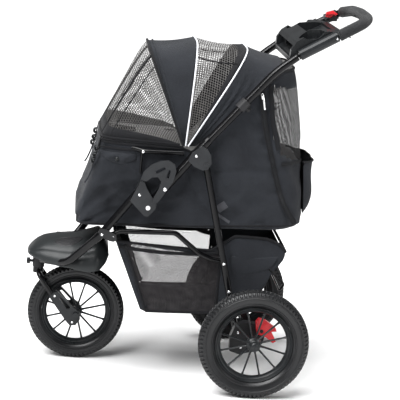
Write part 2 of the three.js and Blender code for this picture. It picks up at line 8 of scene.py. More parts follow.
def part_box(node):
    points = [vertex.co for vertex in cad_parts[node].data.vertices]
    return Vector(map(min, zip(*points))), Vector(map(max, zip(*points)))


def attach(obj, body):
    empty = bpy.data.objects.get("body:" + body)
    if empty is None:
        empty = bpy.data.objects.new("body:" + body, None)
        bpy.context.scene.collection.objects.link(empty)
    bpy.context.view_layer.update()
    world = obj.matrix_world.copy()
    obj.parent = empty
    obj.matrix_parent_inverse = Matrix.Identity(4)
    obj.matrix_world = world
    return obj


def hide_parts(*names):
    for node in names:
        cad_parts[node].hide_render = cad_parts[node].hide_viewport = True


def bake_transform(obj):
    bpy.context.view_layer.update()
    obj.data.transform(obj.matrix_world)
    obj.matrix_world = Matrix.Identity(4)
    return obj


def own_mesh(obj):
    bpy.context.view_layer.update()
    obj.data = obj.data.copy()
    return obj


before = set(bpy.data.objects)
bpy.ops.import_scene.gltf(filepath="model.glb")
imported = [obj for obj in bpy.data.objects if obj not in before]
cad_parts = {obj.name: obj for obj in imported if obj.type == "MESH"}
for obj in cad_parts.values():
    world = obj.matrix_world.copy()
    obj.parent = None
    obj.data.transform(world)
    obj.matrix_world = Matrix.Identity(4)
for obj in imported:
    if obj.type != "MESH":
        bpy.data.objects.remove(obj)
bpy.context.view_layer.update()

MM = 0.001
beam_lo, beam_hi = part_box("axle_beam")
AXLE_X = (beam_lo[0] + beam_hi[0]) / 2
SIDES = (("left", -1), ("right", 1))

# Side layout in mm from the rear axle line, as the frame has it.
RAIL_FRONT = (-400, 406)
RAIL_REAR = (-91, 350)
LEG_FOOT = (-31, 122)
LATCH = (-270, 551)
CANOPY = (-221, 652)
SIDE_Y = 190
RAIL_Y = 173
CABIN_Y = 165
CABIN_REAR_CORNER = 84
BASKET_Y = 152
REAR_TRACK = 560
FRONT_WHEEL_X = -485

# Tube radii, mm.
SLEEVE_R = 12.5
SLIM_R = 10.5
FRONT_TUBE_R = 11
LEG_R = 9
RAIL_R = 7
HOOP_R = 6.5


def P(x, y, z):
    return Vector((AXLE_X + x * MM, y * MM, z * MM))


# ---------------------------------------------------------------- camera
AZIMUTH = -5.1
ELEVATION = 11.6
ROLL = 4.8
DISTANCE = 4.5
LENS = 142.0
LOOK_AT = P(-154, 0, 485)


def make_camera():
    a, e, r = (math.radians(v) for v in (AZIMUTH, ELEVATION, ROLL))
    back = Vector((math.sin(a) * math.cos(e), -math.cos(a) * math.cos(e), math.sin(e)))
    right = Vector((math.cos(a), math.sin(a), 0))
    up = back.cross(right)
    across = right * math.cos(r) + up * math.sin(r)
    upward = up * math.cos(r) - right * math.sin(r)
    data = bpy.data.cameras.new("camera")
    data.lens = LENS
    data.sensor_width = 36
    cam = bpy.data.objects.new("camera", data)
    bpy.context.scene.collection.objects.link(cam)
    turn = Matrix((across, upward, back)).transposed()
    cam.matrix_world = Matrix.Translation(LOOK_AT + back * DISTANCE) @ turn.to_4x4()
    bpy.context.scene.camera = cam


make_camera()


# ---------------------------------------------------------------- materials
class Nodes:
    def __init__(self, name):
        self.mat = bpy.data.materials.new(name)
        self.mat.use_nodes = True
        self.tree = self.mat.node_tree
        self.shader = self.tree.nodes["Principled BSDF"]
        self.coords = self.tree.nodes.new("ShaderNodeTexCoord").outputs["Object"]

    def new(self, kind, **values):
        node = self.tree.nodes.new(kind)
        for key, value in values.items():
            if hasattr(node, key):
                setattr(node, key, value)
            else:
                node.inputs[key.replace("_", " ")].default_value = value
        return node

    def link(self, a, b):
        self.tree.links.new(a, b)

    def noise(self, scale, detail=4.0, rough=0.55):
        node = self.new("ShaderNodeTexNoise", Scale=scale, Detail=detail, Roughness=rough)
        self.link(self.coords, node.inputs["Vector"])
        return node.outputs["Fac"]

    def math(self, op, a, b=None):
        node = self.new("ShaderNodeMath", operation=op)
        for slot, value in enumerate((a, b)):
            if value is None:
                continue
            if isinstance(value, (int, float)):
                node.inputs[slot].default_value = value
            else:
                self.link(value, node.inputs[slot])
        return node.outputs[0]

    def ramp(self, fac, dark, light, lo=0.3, hi=0.7):
        node = self.new("ShaderNodeValToRGB")
        node.color_ramp.elements[0].position = lo
        node.color_ramp.elements[1].position = hi
        node.color_ramp.elements[0].color = (*dark, 1)
        node.color_ramp.elements[1].color = (*light, 1)
        self.link(fac, node.inputs["Fac"])
        return node.outputs["Color"]

    def span(self, fac, lo, hi):
        node = self.new("ShaderNodeMapRange")
        node.inputs["To Min"].default_value = lo
        node.inputs["To Max"].default_value = hi
        self.link(fac, node.inputs["Value"])
        return node.outputs["Result"]

    def bump(self, height, strength, distance, under=None):
        node = self.new("ShaderNodeBump", Strength=strength, Distance=distance)
        self.link(height, node.inputs["Height"])
        if under is not None:
            self.link(under, node.inputs["Normal"])
        return node.outputs["Normal"]

    def threads(self, pitch):
        """Two sets of threads at a real pitch, which cross on faces of any direction."""
        parts = self.new("ShaderNodeSeparateXYZ")
        self.link(self.coords, parts.inputs[0])
        x, y, z = parts.outputs
        turn = 2 * math.pi / pitch
        u = self.math("SINE", self.math("MULTIPLY", self.math("ADD", x, y), turn))
        slant = self.math("SUBTRACT", z, self.math("MULTIPLY", y, 0.35))
        v = self.math("SINE", self.math("MULTIPLY", slant, turn))
        return u, v

    def finish(self, color=None, rough=None, normal=None, **values):
        if color is not None:
            self.link(color, self.shader.inputs["Base Color"])
        if rough is not None:
            self.link(rough, self.shader.inputs["Roughness"])
        if normal is not None:
            self.link(normal, self.shader.inputs["Normal"])
        for key, value in values.items():
            self.shader.inputs[key.replace("_", " ")].default_value = value
        return self.mat


def hard(name, dark, light, rough, grain, depth, **values):
    """Paint, plastic or metal: slight colour change, worn gloss and a fine surface grain."""
    n = Nodes(name)
    broad = n.noise(14, 5)
    fine = n.noise(grain, 3, 0.6)
    values.setdefault("Specular_IOR_Level", 0.28)
    wear = n.math("ADD", n.math("MULTIPLY", broad, 0.6), n.math("MULTIPLY", fine, 0.4))
    return n.finish(
        n.ramp(wear, dark, light), n.span(wear, rough[0], rough[1]), n.bump(fine, 0.35, depth), **values
    )


def cloth(name, dark, light, pitch, sheen=0.25, rough=0.85, depth=0.0004):
    n = Nodes(name)
    u, v = n.threads(pitch)
    threads = n.math("MULTIPLY", u, v)
    broad = n.noise(9, 5, 0.6)
    fleck = n.noise(420, 2, 0.7)
    tone = n.math("ADD", n.math("MULTIPLY", broad, 0.55), n.math("MULTIPLY", fleck, 0.45))
    soft = n.bump(n.noise(38, 3, 0.5), 0.25, 0.004)
    normal = n.bump(threads, 0.5, depth, soft)
    return n.finish(
        n.ramp(tone, dark, light), n.span(tone, rough - 0.08, rough + 0.08), normal, Sheen_Weight=sheen,
        Sheen_Roughness=0.5, Specular_IOR_Level=0.25
    )


def netting(name, dark, light, pitch, hole):
    n = Nodes(name)
    lay = n.new("ShaderNodeSeparateXYZ")
    n.link(n.new("ShaderNodeTexCoord").outputs["UV"], lay.inputs[0])
    u, v = (n.math("SINE", n.math("MULTIPLY", lay.outputs[k], 2 * math.pi / pitch)) for k in (0, 1))
    gap = n.math("MULTIPLY", n.math("GREATER_THAN", n.math("ABSOLUTE", u), hole), 1.0)
    gap = n.math("MULTIPLY", gap, n.math("GREATER_THAN", n.math("ABSOLUTE", v), hole))
    n.link(n.math("SUBTRACT", 1.0, gap), n.shader.inputs["Alpha"])
    tone = n.noise(60, 4)
    normal = n.bump(n.math("MULTIPLY", u, v), 0.4, 0.0005)
    return n.finish(n.ramp(tone, dark, light), n.span(tone, 0.7, 0.9), normal, Specular_IOR_Level=0.2)


STEEL = hard("gloss_black_steel", (0.003, 0.003, 0.0035), (0.007, 0.007, 0.008), (0.14, 0.24), 160, 0.0001)
GREY = hard("grey_painted_steel", (0.022, 0.023, 0.025), (0.045, 0.047, 0.050), (0.26, 0.40), 420, 0.0002,
            Metallic=0.3)
CHROME = hard("bright_plated_steel", (0.62, 0.63, 0.64), (0.86, 0.86, 0.87), (0.1, 0.24), 300, 0.0001,
              Metallic=1.0)
PLASTIC = hard("grained_black_plastic", (0.012, 0.012, 0.013), (0.03, 0.03, 0.032), (0.34, 0.52), 900, 0.0003)
SHINY = hard("smooth_black_plastic", (0.010, 0.011, 0.012), (0.026, 0.028, 0.030), (0.22, 0.36), 240, 0.0002)
SOFT = hard("footrest_plastic", (0.017, 0.019, 0.020), (0.030, 0.033, 0.034), (0.30, 0.42), 1100, 0.0004)
RUBBER = hard("tyre_rubber", (0.005, 0.0052, 0.006), (0.015, 0.0155, 0.017), (0.26, 0.46), 700, 0.0004,
              Specular_IOR_Level=0.45)
RED = hard("red_plastic", (0.50, 0.012, 0.02), (0.72, 0.03, 0.04), (0.22, 0.38), 300, 0.0001, Coat_Weight=0.3)
FABRIC = cloth("charcoal_canvas", (0.012, 0.013, 0.016), (0.030, 0.033, 0.039), 0.0011, 0.07)
LINING = cloth("dark_webbing", (0.006, 0.006, 0.007), (0.014, 0.0145, 0.017), 0.0018, 0.06, 0.8)
PAD = cloth("pad_cloth", (0.04, 0.042, 0.048), (0.07, 0.072, 0.08), 0.0014)
NET = netting("grey_netting", (0.030, 0.028, 0.030), (0.065, 0.061, 0.063), 0.0072, 0.50)
PALE_NET = netting("pale_netting", (0.060, 0.058, 0.057), (0.115, 0.112, 0.110), 0.0130, 0.46)
DARK_NET = netting("black_netting", (0.016, 0.0155, 0.016), (0.034, 0.033, 0.034), 0.0064, 0.60)
INSIDE = cloth("pale_lining", (0.34, 0.335, 0.33), (0.46, 0.455, 0.45), 0.0013, 0.1)
FOAM = cloth("grip_foam", (0.010, 0.0105, 0.0115), (0.034, 0.035, 0.037), 0.0042, 0.12, 0.88, 0.0012)
PIPING = cloth("silver_piping", (0.55, 0.56, 0.60), (0.78, 0.79, 0.82), 0.0016, 0.1, 0.45)


# ---------------------------------------------------------------- mesh helpers
def build(name, verts, faces, material, body=None, smooth=40, slot=None):
    mesh = bpy.data.meshes.new(name)
    mesh.from_pydata([tuple(v) for v in verts], [], faces)
    bm = bmesh.new()
    bm.from_mesh(mesh)
    bmesh.ops.remove_doubles(bm, verts=bm.verts, dist=1e-6)
    bmesh.ops.recalc_face_normals(bm, faces=bm.faces)
    bm.to_mesh(mesh)
    bm.free()
    obj = bpy.data.objects.new(name, mesh)
    bpy.context.scene.collection.objects.link(obj)
    mesh.materials.append(material)
    mesh.polygons.foreach_set("use_smooth", [True] * len(mesh.polygons))
    mesh.set_sharp_from_angle(angle=math.radians(smooth))
    if body:
        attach(obj, body)
    return obj


def merged(parts):
    """Joins (verts, faces) pairs into one."""
    verts, faces = [], []
    for v, f in parts:
        start = len(verts)
        verts += [Vector(p) for p in v]
        faces += [[i + start for i in face] for face in f]
    return verts, faces


def rounded(points, corner, steps=7):
    """A line through the points, with each corner turned into a smooth curve."""
    stops = [Vector(p) for p in points]
    line = [stops[0]]
    for i in range(1, len(stops) - 1):
        before = stops[i] + (stops[i - 1] - stops[i]).normalized() * corner
        after = stops[i] + (stops[i + 1] - stops[i]).normalized() * corner
        for k in range(steps + 1):
            t = k / steps
            line.append(before.lerp(stops[i], t).lerp(stops[i].lerp(after, t), t))
    line.append(stops[-1])
    return line


def smoothed(points, count):
    """Catmull-Rom curve through the points."""
    pts = [Vector(p) for p in points]
    pts = [pts[0] * 2 - pts[1]] + pts + [pts[-1] * 2 - pts[-2]]
    out = []
    for i in range(1, len(pts) - 2):
        a, b, c, d = pts[i - 1:i + 3]
        for k in range(count):
            t = k / count
            out.append(0.5 * (2 * b + (c - a) * t + (2 * a - 5 * b + 4 * c - d) * t * t
                              + (3 * b - a - 3 * c + d) * t ** 3))
    out.append(pts[-2])
    return out


def sweep(line, radius, sides=16, squash=1.0, flat_axis=None, dome=0.0):
    """A tube along a line, in metres. radius may be a list. flat_axis holds the wide side of a strap."""
    pts = [Vector(p) for p in line]
    radii = radius if isinstance(radius, (list, tuple)) else [radius] * len(pts)
    if dome:
        first = (pts[0] - pts[1]).normalized()
        last = (pts[-1] - pts[-2]).normalized()
        pts = [pts[0] + first * dome] + pts + [pts[-1] + last * dome]
        radii = [radii[0] * 0.55] + list(radii) + [radii[-1] * 0.55]
    verts, faces = [], []
    normal = None
    for i, p in enumerate(pts):
        a = pts[max(i - 1, 0)]
        b = pts[min(i + 1, len(pts) - 1)]
        tangent = (b - a).normalized()
        if flat_axis is not None:
            normal = Vector(flat_axis)
        elif normal is None:
            normal = Vector((0, 0, 1)) if abs(tangent.z) < 0.9 else Vector((1, 0, 0))
        normal = (normal - tangent * normal.dot(tangent)).normalized()
        side = tangent.cross(normal)
        for k in range(sides):
            angle = 2 * math.pi * k / sides
            verts.append(p + (normal * math.cos(angle) + side * math.sin(angle) * squash) * radii[i])
    for i in range(len(pts) - 1):
        for k in range(sides):
            m = (k + 1) % sides
            faces.append([i * sides + k, i * sides + m, (i + 1) * sides + m, (i + 1) * sides + k])
    faces.append(list(range(sides))[::-1])
    faces.append([(len(pts) - 1) * sides + k for k in range(sides)])
    return verts, faces


def grid(rows, closed=False):
    verts = [p for row in rows for p in row]
    n = len(rows[0])
    faces = []
    for i in range(len(rows) - 1):
        for k in range(n if closed else n - 1):
            m = (k + 1) % n
            faces.append([i * n + k, i * n + m, (i + 1) * n + m, (i + 1) * n + k])
    return verts, faces


def weave(obj, rows):
    """Lays the thread directions along the rows and columns a sheet was made from, at real length."""
    place = {}
    along = [0.0] * len(rows[0])
    for i, row in enumerate(rows):
        across = 0.0
        for k, p in enumerate(row):
            if i:
                along[k] += (p - rows[i - 1][k]).length
            if k:
                across += (p - row[k - 1]).length
            place[tuple(round(v, 5) for v in p)] = (across, along[k])
    layer = obj.data.uv_layers.new(name="weave")
    for loop in obj.data.loops:
        p = obj.data.vertices[loop.vertex_index].co
        layer.data[loop.index].uv = place.get(tuple(round(v, 5) for v in p), (0, 0))


def lathe(profile, centre, sides=64):
    """Turns (radius, y) pairs in mm about the y line through centre, in a loop or from axis to axis."""
    rows = []
    for k in range(sides):
        a = 2 * math.pi * k / sides
        rows.append([centre + Vector((r * math.cos(a), y, r * math.sin(a))) * MM for r, y in profile])
    rows.append(rows[0])
    return grid(rows)


def thick(obj, depth, offset=-1.0, subdiv=0):
    mod = obj.modifiers.new("thickness", "SOLIDIFY")
    mod.thickness = depth
    mod.offset = offset
    if subdiv:
        sub = obj.modifiers.new("smooth", "SUBSURF")
        sub.levels = subdiv
        sub.render_levels = subdiv
    return obj


def lookup(table, x):
    if x <= table[0][0]:
        return table[0][1]
    for (x0, v0), (x1, v1) in zip(table, table[1:]):
        if x <= x1:
            return v0 + (v1 - v0) * (x - x0) / (x1 - x0)
    return table[-1][1]


def dress(node, material, bevel=0.0, smooth=35, flatten=True):
    """A CAD node that stays gets a material, and rounded edges where it needs them."""
    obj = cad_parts[node]
    obj.data.materials.clear()
    obj.data.materials.append(material)
    obj.data.polygons.foreach_set("use_smooth", [True] * len(obj.data.polygons))
    obj.data.set_sharp_from_angle(angle=math.radians(smooth))
    if bevel:
        if flatten:
            dec = obj.modifiers.new("flat_faces", "DECIMATE")
            dec.decimate_type = "DISSOLVE"
            dec.angle_limit = math.radians(2)
        bev = obj.modifiers.new("edges", "BEVEL")
        bev.width = bevel
        bev.segments = 3
        bev.limit_method = "ANGLE"
        bev.angle_limit = math.radians(30)
    return obj


def rivet(place, direction, radius, height=2.2):
    """Domed rivet head as (verts, faces); place in metres, direction +1 or -1 along y."""
    prof = [
        (0, height), (radius * 0.45, height * 0.93), (radius * 0.8, height * 0.6), (radius, height * 0.12),
        (radius, -0.6), (0, -0.6),
    ]
    return lathe([(r, y * direction) for r, y in prof], place, 20)


def trim(name, shape, material, body="upper_frame", smooth=40):
    """A cloth piece: panel, seam, binding or webbing."""
    return build(name, *shape, material, body, smooth, "charcoal_fabric")


def steel(name, shape, body, node):
    """A painted steel piece that stands for a CAD node."""
    obj = build(name, *shape, STEEL, body, slot="black_steel")
    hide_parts(node)
    return obj


def studs(name, body, direction, heads):
    """Rivet or screw heads on one side, each as x, y, z, radius in mm, and height if not the usual one."""
    parts = [rivet(P(x, direction * y, z), direction, *size) for x, y, z, *size in heads]
    return build(name, *merged(parts), CHROME, body, slot="bright_steel")


def on_plane(y, outline):
    """Points at one distance out to the side, from (x, z) pairs in mm."""
    return [P(x, y, z) for x, z in outline]


# ---------------------------------------------------------------- tubes
def tubes():
    for side, s in SIDES:
        y = s * SIDE_Y
        sleeve = rounded([P(-320, y, 485.7), P(-190, y, 655), P(-166, y, 684)], 16 * MM)
        slim = rounded([P(-180, y, 667), P(5, y, 890), P(60, y, 934)], 30 * MM)
        neck = [P(-166, y, 684), P(-161, y, 690.2), P(-158, y, 693.8)]
        parts = [
            sweep(sleeve, SLEEVE_R * MM, 24),
            sweep(slim, SLIM_R * MM, 24),
            sweep(neck, [SLEEVE_R * MM, 12.2 * MM, 10.6 * MM], 24),
            sweep([P(LATCH[0], s * 196, LATCH[1]), P(LATCH[0], s * 214.4, LATCH[1])], 3.5 * MM, 16),
        ]
        steel(f"upper_tube_steel_{side}", merged(parts), "upper_frame", f"upper_tube_{side}")
        studs(f"latch_rivet_{side}", "upper_frame", s, [(LATCH[0], 214.6, LATCH[1], 5.0)])

        stops = [P(-344, y, 531), P(-436, y, 406.4), P(-520, s * 112, 304), P(-590, s * 29, 290)]
        front = sweep(rounded(stops, 30 * MM, 10), FRONT_TUBE_R * MM, 24)
        steel(f"front_tube_steel_{side}", front, "front_frame", f"front_tube_{side}")

        leg = sweep([P(-166.4, y, 638), P(LEG_FOOT[0], y, LEG_FOOT[1])], LEG_R * MM, 24, dome=1.5 * MM)
        steel(f"rear_leg_steel_{side}", leg, "rear_frame", f"rear_leg_{side}")
        studs(f"leg_rivets_{side}", "rear_frame", s,
              [(RAIL_REAR[0], 198.6, RAIL_REAR[1], 4.4), (-71, 198.6, 273, 4.0)])

        yr = s * RAIL_Y
        rail = rounded([
            P(-400, yr, 408), P(-384, yr, 419), P(-229, yr, 424), P(-160, yr, 370), P(-125, yr, 356),
            P(RAIL_REAR[0], yr, RAIL_REAR[1])
        ], 10 * MM)
        parts = [sweep(rail, RAIL_R * MM, 18)]
        for x, z in (RAIL_FRONT, RAIL_REAR):
            eye = [(3.9, 166.3), (9.5, 166.3), (9.5, 179.7), (3.9, 179.7), (3.9, 166.3)]
            parts.append(lathe([(r, t * s) for r, t in eye], P(x, 0, z), 24))
        steel(f"side_rail_steel_{side}", merged(parts), "rails", f"side_rail_{side}")

    half = [(-224, 176, 648), (-330, 176, 646), (-372, 156, 652), (-432, 152, 660)]
    line = [P(x, -y, z) for x, y, z in half] + [P(x, y, z) for x, y, z in half[::-1]]
    parts = [sweep(rounded(line, 12 * MM), HOOP_R * MM, 18)]
    for _, s in SIDES:
        parts.append(sweep([P(-338, s * 176, 648), P(-338, s * 176, 586)], 3.5 * MM, 12))
    steel("cabin_hoop_steel", merged(parts), "upper_frame", "cabin_hoop")
    heads = [rivet(P(-335, s * 182, 645), s, 4.4) for _, s in SIDES]
    build("hoop_studs", *merged(heads), CHROME, "upper_frame", slot="bright_steel")


GRIP_LINE = [(62, -190, 936), (183, -190, 1008.3), (230, -177, 1034), (251, -126, 1044), (254, 0, 1047),
             (251, 126, 1044), (230, 177, 1034), (183, 190, 1008.3), (62, 190, 936)]


def handle():
    line = rounded([P(*p) for p in GRIP_LINE], 20 * MM, 8)
    steel("handle_bar_steel", sweep(line, SLIM_R * MM, 20), "upper_frame", "handle_bar")

    ends = [(171, -190, 1001)] + GRIP_LINE[1:7] + [(229, 178, 1033.4)]
    path = rounded([P(*p) for p in ends[:-2]] + [P(*ends[-1])], 20 * MM, 8)
    dense = []
    for a, b in zip(path, path[1:]):
        n = max(1, int((b - a).length / (3 * MM)))
        dense += [a.lerp(b, k / n) for k in range(n)]
    dense.append(path[-1])
    radii = [(15.5 - 0.7 * (i % 2) - 0.25 * noise.noise(p * 90)) * MM for i, p in enumerate(dense)]
    radii[0] = radii[-1] = 13.2 * MM
    grip = build("grip_sleeve", *sweep(dense, radii, 24), FOAM, "upper_frame", slot="grip_foam")
    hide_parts("foam_grip")

    dress("trigger_mount", PLASTIC, 0.0012)
    dress("handle_trigger", RED, 0.0009)
    for side, s in SIDES:
        studs(f"console_screws_{side}", "upper_frame", s, [(160, 203, 991, 3.2), (110, 203, 964, 2.2, 1.2)])


# ---------------------------------------------------------------- wheels
def tread(half, angle, w, blocks):
    """How far the tyre stands out at this angle and width, in mm: blocks with grooves between."""
    a = abs(w) / half
    turn = angle / (2 * math.pi) * blocks
    if a < 0.26:
        return 4.0 if (turn + (0.5 if w > 0 else 0)) % 1 < 0.62 else 0.0
    if a < 0.36:
        return 0.2
    if a < 0.62:
        return 4.0 if (turn + 0.28 + a * 0.5) % 1 < 0.6 else 0.0
    if a < 0.70:
        return 0.4
    if a < 0.97:
        return 4.2 if (turn + 0.75) % 1 < 0.58 else -0.6
    return 0.0


def tyre(name, node, body, x, y, radius, inner, half, blocks):
    outline = []
    side = [
        (inner, 0.55), (inner + 4, 0.74), (inner + 7, 0.84), (inner + 8.2, 0.93), (inner + 10.4, 0.93),
        (inner + 11.6, 0.85), (inner + 15, 0.88), (radius - 26, 0.96), (radius - 22, 0.98),
        (radius - 21, 1.04), (radius - 19, 1.04), (radius - 18, 0.98), (radius - 15, 0.97),
    ]
    outline += [(r, -w * half) for r, w in side]
    steps = 34
    for k in range(steps + 1):
        t = -1 + 2 * k / steps
        w = 0.98 * half * math.sin(t * math.pi / 2)
        drop = 10.5 * (abs(w) / half) ** 2.4
        outline.append((radius - 4.2 - drop, w))
    outline += [(r, w * half) for r, w in side[::-1]]
    outline.append(outline[0])
    first, last = len(side), len(side) + steps
    count = blocks * 5
    rows = []
    for i in range(count + 1):
        angle = 2 * math.pi * (i % count) / count
        row = []
        for k, (r, w) in enumerate(outline):
            if first <= k <= last:
                r = r + tread(half, angle + 1e-6, w, blocks)
            row.append(P(x, y, radius) + Vector((r * math.cos(angle), w, r * math.sin(angle))) * MM)
        rows.append(row)
    obj = build(name, *grid(rows), RUBBER, body, 32, "tyre_rubber")
    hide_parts(node)


def wheel(name, node, body, x, y, radius, outer, inner, half, hub_half, hub_r):
    centre = P(x, y, radius)
    rim = [
        (inner + 3, -half * 0.5), (inner, -half * 0.24), (inner, half * 0.24), (inner + 3, half * 0.5),
        (inner + 6, half * 0.7), (inner + 9, half * 0.66), (outer - 4, half * 0.84),
        (outer - 1.5, half * 1.06), (outer, half * 1.02), (outer, -half * 1.02),
        (outer - 1.5, -half * 1.06), (outer - 4, -half * 0.84), (inner + 9, -half * 0.66),
        (inner + 6, -half * 0.7),
    ]
    parts = [lathe(rim + [rim[0]], centre, 96)]
    hub = [(6.5, -hub_half), (hub_r - 5, -hub_half), (hub_r - 3, -hub_half + 2), (hub_r - 4, -hub_half * 0.6),
           (hub_r - 6, -hub_half * 0.5), (hub_r, -hub_half * 0.35), (hub_r + 2, 0), (hub_r, hub_half * 0.35),
           (hub_r - 6, hub_half * 0.5), (hub_r - 4, hub_half * 0.6), (hub_r - 3, hub_half - 2),
           (hub_r - 5, hub_half), (6.5, hub_half)]
    parts.append(lathe(hub + [hub[0]], centre, 48))
    for k in range(12):
        angle = 2 * math.pi * (k + 0.5) / 12
        out = Vector((math.cos(angle), 0, math.sin(angle)))
        line = [centre + out * (hub_r - 3) * MM, centre + out * (hub_r + 6) * MM,
                centre + out * (inner - 8) * MM, centre + out * (inner + 2.5) * MM]
        parts.append(sweep(line, [6.5 * MM, 4.4 * MM, 3.8 * MM, 6.0 * MM], 12, 0.62, (0, 1, 0)))
    obj = build(name, *merged(parts), SHINY, body, 38, "black_plastic")
    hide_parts(node)


def wheels():
    for side, s in SIDES:
        body = f"rear_wheel_set_{side}"
        y = s * REAR_TRACK / 2
        tyre(f"rear_tyre_rubber_{side}", f"rear_tyre_{side}", body, 0, y, 152.5, 106.3, 22.5, 78)
        wheel(f"rear_rim_{side}", f"rear_wheel_{side}", body, 0, y, 152.5, 106, 91, 15, 26, 19)
        dome = [(0, 316.2), (4, 316.0), (8, 315.0), (11, 312.8), (12.8, 309.6), (13.4, 306.5), (0, 306.5)]
        shape = lathe([(r, t * s) for r, t in dome], P(0, 0, 152.5), 40)
        cap = build(f"rear_cap_{side}", *shape, SHINY, body, slot="black_plastic")
        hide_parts(f"hub_cap_{side}")
    tyre("front_tyre_rubber", "front_tyre", "front_wheel_set", FRONT_WHEEL_X, 0, 138, 98.3, 20, 70)
    wheel("front_rim", "front_wheel", "front_wheel_set", FRONT_WHEEL_X, 0, 138, 98, 84, 14, 33, 17)


# ---------------------------------------------------------------- canopy
ARCHES = {
    "front": (CANOPY, (-336, 924)),
    "middle": (CANOPY, (-205, 943)),
    "rear": (CANOPY, (-64, 932)),
    "back": ((-204, 655), (38, 906)),
}
ARCH_POINTS = 44


def arch(base, apex, phi, grow=0.0, start=0.05):
    """Point on an arch from the left side (phi 0) over the top to the right (phi 1), in mm."""
    angle = math.pi * phi
    c, s = math.cos(angle), math.sin(angle)
    y = -(CABIN_Y + grow * 0.4) * math.copysign(abs(c) ** 0.46, c)
    rise = start + (1 - start) * abs(s) ** 0.5
    length = math.hypot(apex[0] - base[0], apex[1] - base[1])
    rise *= 1 + grow / length
    return (base[0] + (apex[0] - base[0]) * rise, y, base[1] + (apex[1] - base[1]) * rise)


def arch_line(name, grow=0.0, start=0.05, count=ARCH_POINTS):
    base, apex = ARCHES[name]
    return [P(*arch(base, apex, k / count, grow, start)) for k in range(count + 1)]


def stretch(first, last, columns, sag):
    """Cloth between two arches, drawn in a little halfway."""
    a, b = ARCHES[first], ARCHES[last]
    rows = []
    for i in range(columns + 1):
        t = i / columns
        base = tuple(a[0][k] * (1 - t) + b[0][k] * t for k in (0, 1))
        apex = tuple(a[1][k] * (1 - t) + b[1][k] * t for k in (0, 1))
        dip = -sag * math.sin(math.pi * t)
        rows.append([P(*arch(base, apex, k / ARCH_POINTS, dip)) for k in range(ARCH_POINTS + 1)])
    return rows


def canopy():
    front = stretch("front", "middle", 10, 5)
    window = stretch("middle", "rear", 12, 7)
    back = stretch("rear", "back", 12, 4)

    def across(piece):
        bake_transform(piece)

    for i, row in enumerate(back):
        for k, p in enumerate(row):
            near = min(k, ARCH_POINTS - k) / ARCH_POINTS
            fade = math.sin(math.pi * i / 12) * math.exp(-((near - 0.12) / 0.12) ** 2)
            p.y *= 1 + 0.018 * fade * math.sin(i * 1.9 + near * 40)
    cover = trim("canopy_cloth_front", grid(front), FABRIC, None)
    thick(cover, 1.2 * MM, -1)
    across(cover)
    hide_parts("canopy_front")

    net = build("canopy_netting", *grid(window[:11]), PALE_NET, slot="grey_netting")
    weave(net, window[:11])
    across(net)
    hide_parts("canopy_mesh")

    band = trim("canopy_band", grid(window[10:]), LINING, None)
    thick(band, 1.6 * MM, -1)
    across(band)
    seams = []
    for k in (12, ARCH_POINTS - 12):
        line = [row[k] + Vector((0, 0, 0.8 * MM)) for row in window[:12]]
        seams.append(sweep(line, 1.6 * MM, 8))
    seam = trim("canopy_net_seams", merged(seams), LINING, None)
    across(seam)

    rear = trim("canopy_cloth_rear", grid(back), FABRIC)
    thick(rear, 1.2 * MM, -1)
    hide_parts("canopy_rear")

    edges = [
        ("canopy_piping_middle", arch_line("middle", 1.5), 2.3, PIPING, True),
        ("canopy_piping_rear", arch_line("rear", 1.5), 2.3, PIPING, False),
        ("canopy_front_welt", arch_line("front", 1.5), 3.6, LINING, True),
        ("canopy_front_tape", stretch("front", "middle", 9, 1)[1], 2.6, FABRIC, True),
    ]
    for name, line, radius, material, moves in edges:
        body = None if moves else "upper_frame"
        obj = trim(name, sweep(line, radius * MM, 10, dome=1 * MM), material, body)
        if moves:
            across(obj)


RIM = [
    (-236, -166, 667), (-330, -167, 670), (-430, -167, 673), (-449, -150, 674), (-453, -70, 676),
    (-454, 0, 677),
]


def hood():
    """The net front: a ruled sheet from the front arch down to the cabin's rim."""
    half = rounded([P(*p) for p in RIM], 14 * MM, 6)
    lengths = [0.0]
    for a, b in zip(half, half[1:]):
        lengths.append(lengths[-1] + (b - a).length)

    def along(t):
        target = t * lengths[-1]
        for k in range(len(half) - 1):
            if lengths[k + 1] >= target - 1e-9:
                f = (target - lengths[k]) / max(lengths[k + 1] - lengths[k], 1e-9)
                return half[k].lerp(half[k + 1], f)
        return half[-1]

    top = arch_line("front", -0.5, 0.12)
    n = ARCH_POINTS
    bottom = []
    for k in range(n + 1):
        t = k / n
        near = min(t, 1 - t) * 2
        p = along(near ** 0.8).copy()
        if t > 0.5:
            p.y = -p.y
        bottom.append(p)
    rows = []
    depth = 14
    for i in range(depth + 1):
        t = i / depth
        row = []
        for k, (a, b) in enumerate(zip(top, bottom)):
            p = a.lerp(b, t)
            outward = Vector((p.x - AXLE_X + 0.2, 0, p.z - 0.70)).normalized()
            middle = max(0.0, 1 - abs(k / n - 0.5) * 2.2)
            slack = noise.noise(p * 14) * 1.6 * math.sin(math.pi * t)
            swell = slack + 9 * middle * math.sin(math.pi * t ** 0.6)
            row.append(p + outward * swell * MM)
        rows.append(row)
    cut = int(depth * 0.9)
    net = build("hood_netting", *grid(rows[:cut + 1]), PALE_NET, "front_bow", slot="grey_netting")
    weave(net, rows[:cut + 1])
    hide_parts("canopy_hood")
    skirt = trim("hood_skirt", grid(rows[cut:]), LINING, "front_bow")
    thick(skirt, 1.4 * MM, 0)
    hem = [p + Vector((0, 0, 2 * MM)) for p in bottom]
    trim("hood_hem", sweep(hem, 3.4 * MM, 10, 0.5, (0, 0, 1)), LINING, "front_bow")
    corner = []
    for share, radius in ((0.33, 3.0), (0.24, 1.4)):
        for k in (int(n * share), n - int(n * share)):
            line = [row[k] for row in rows]
            corner.append(sweep(line, radius * MM, 8))
    trim("hood_seams", merged(corner), LINING, "front_bow")


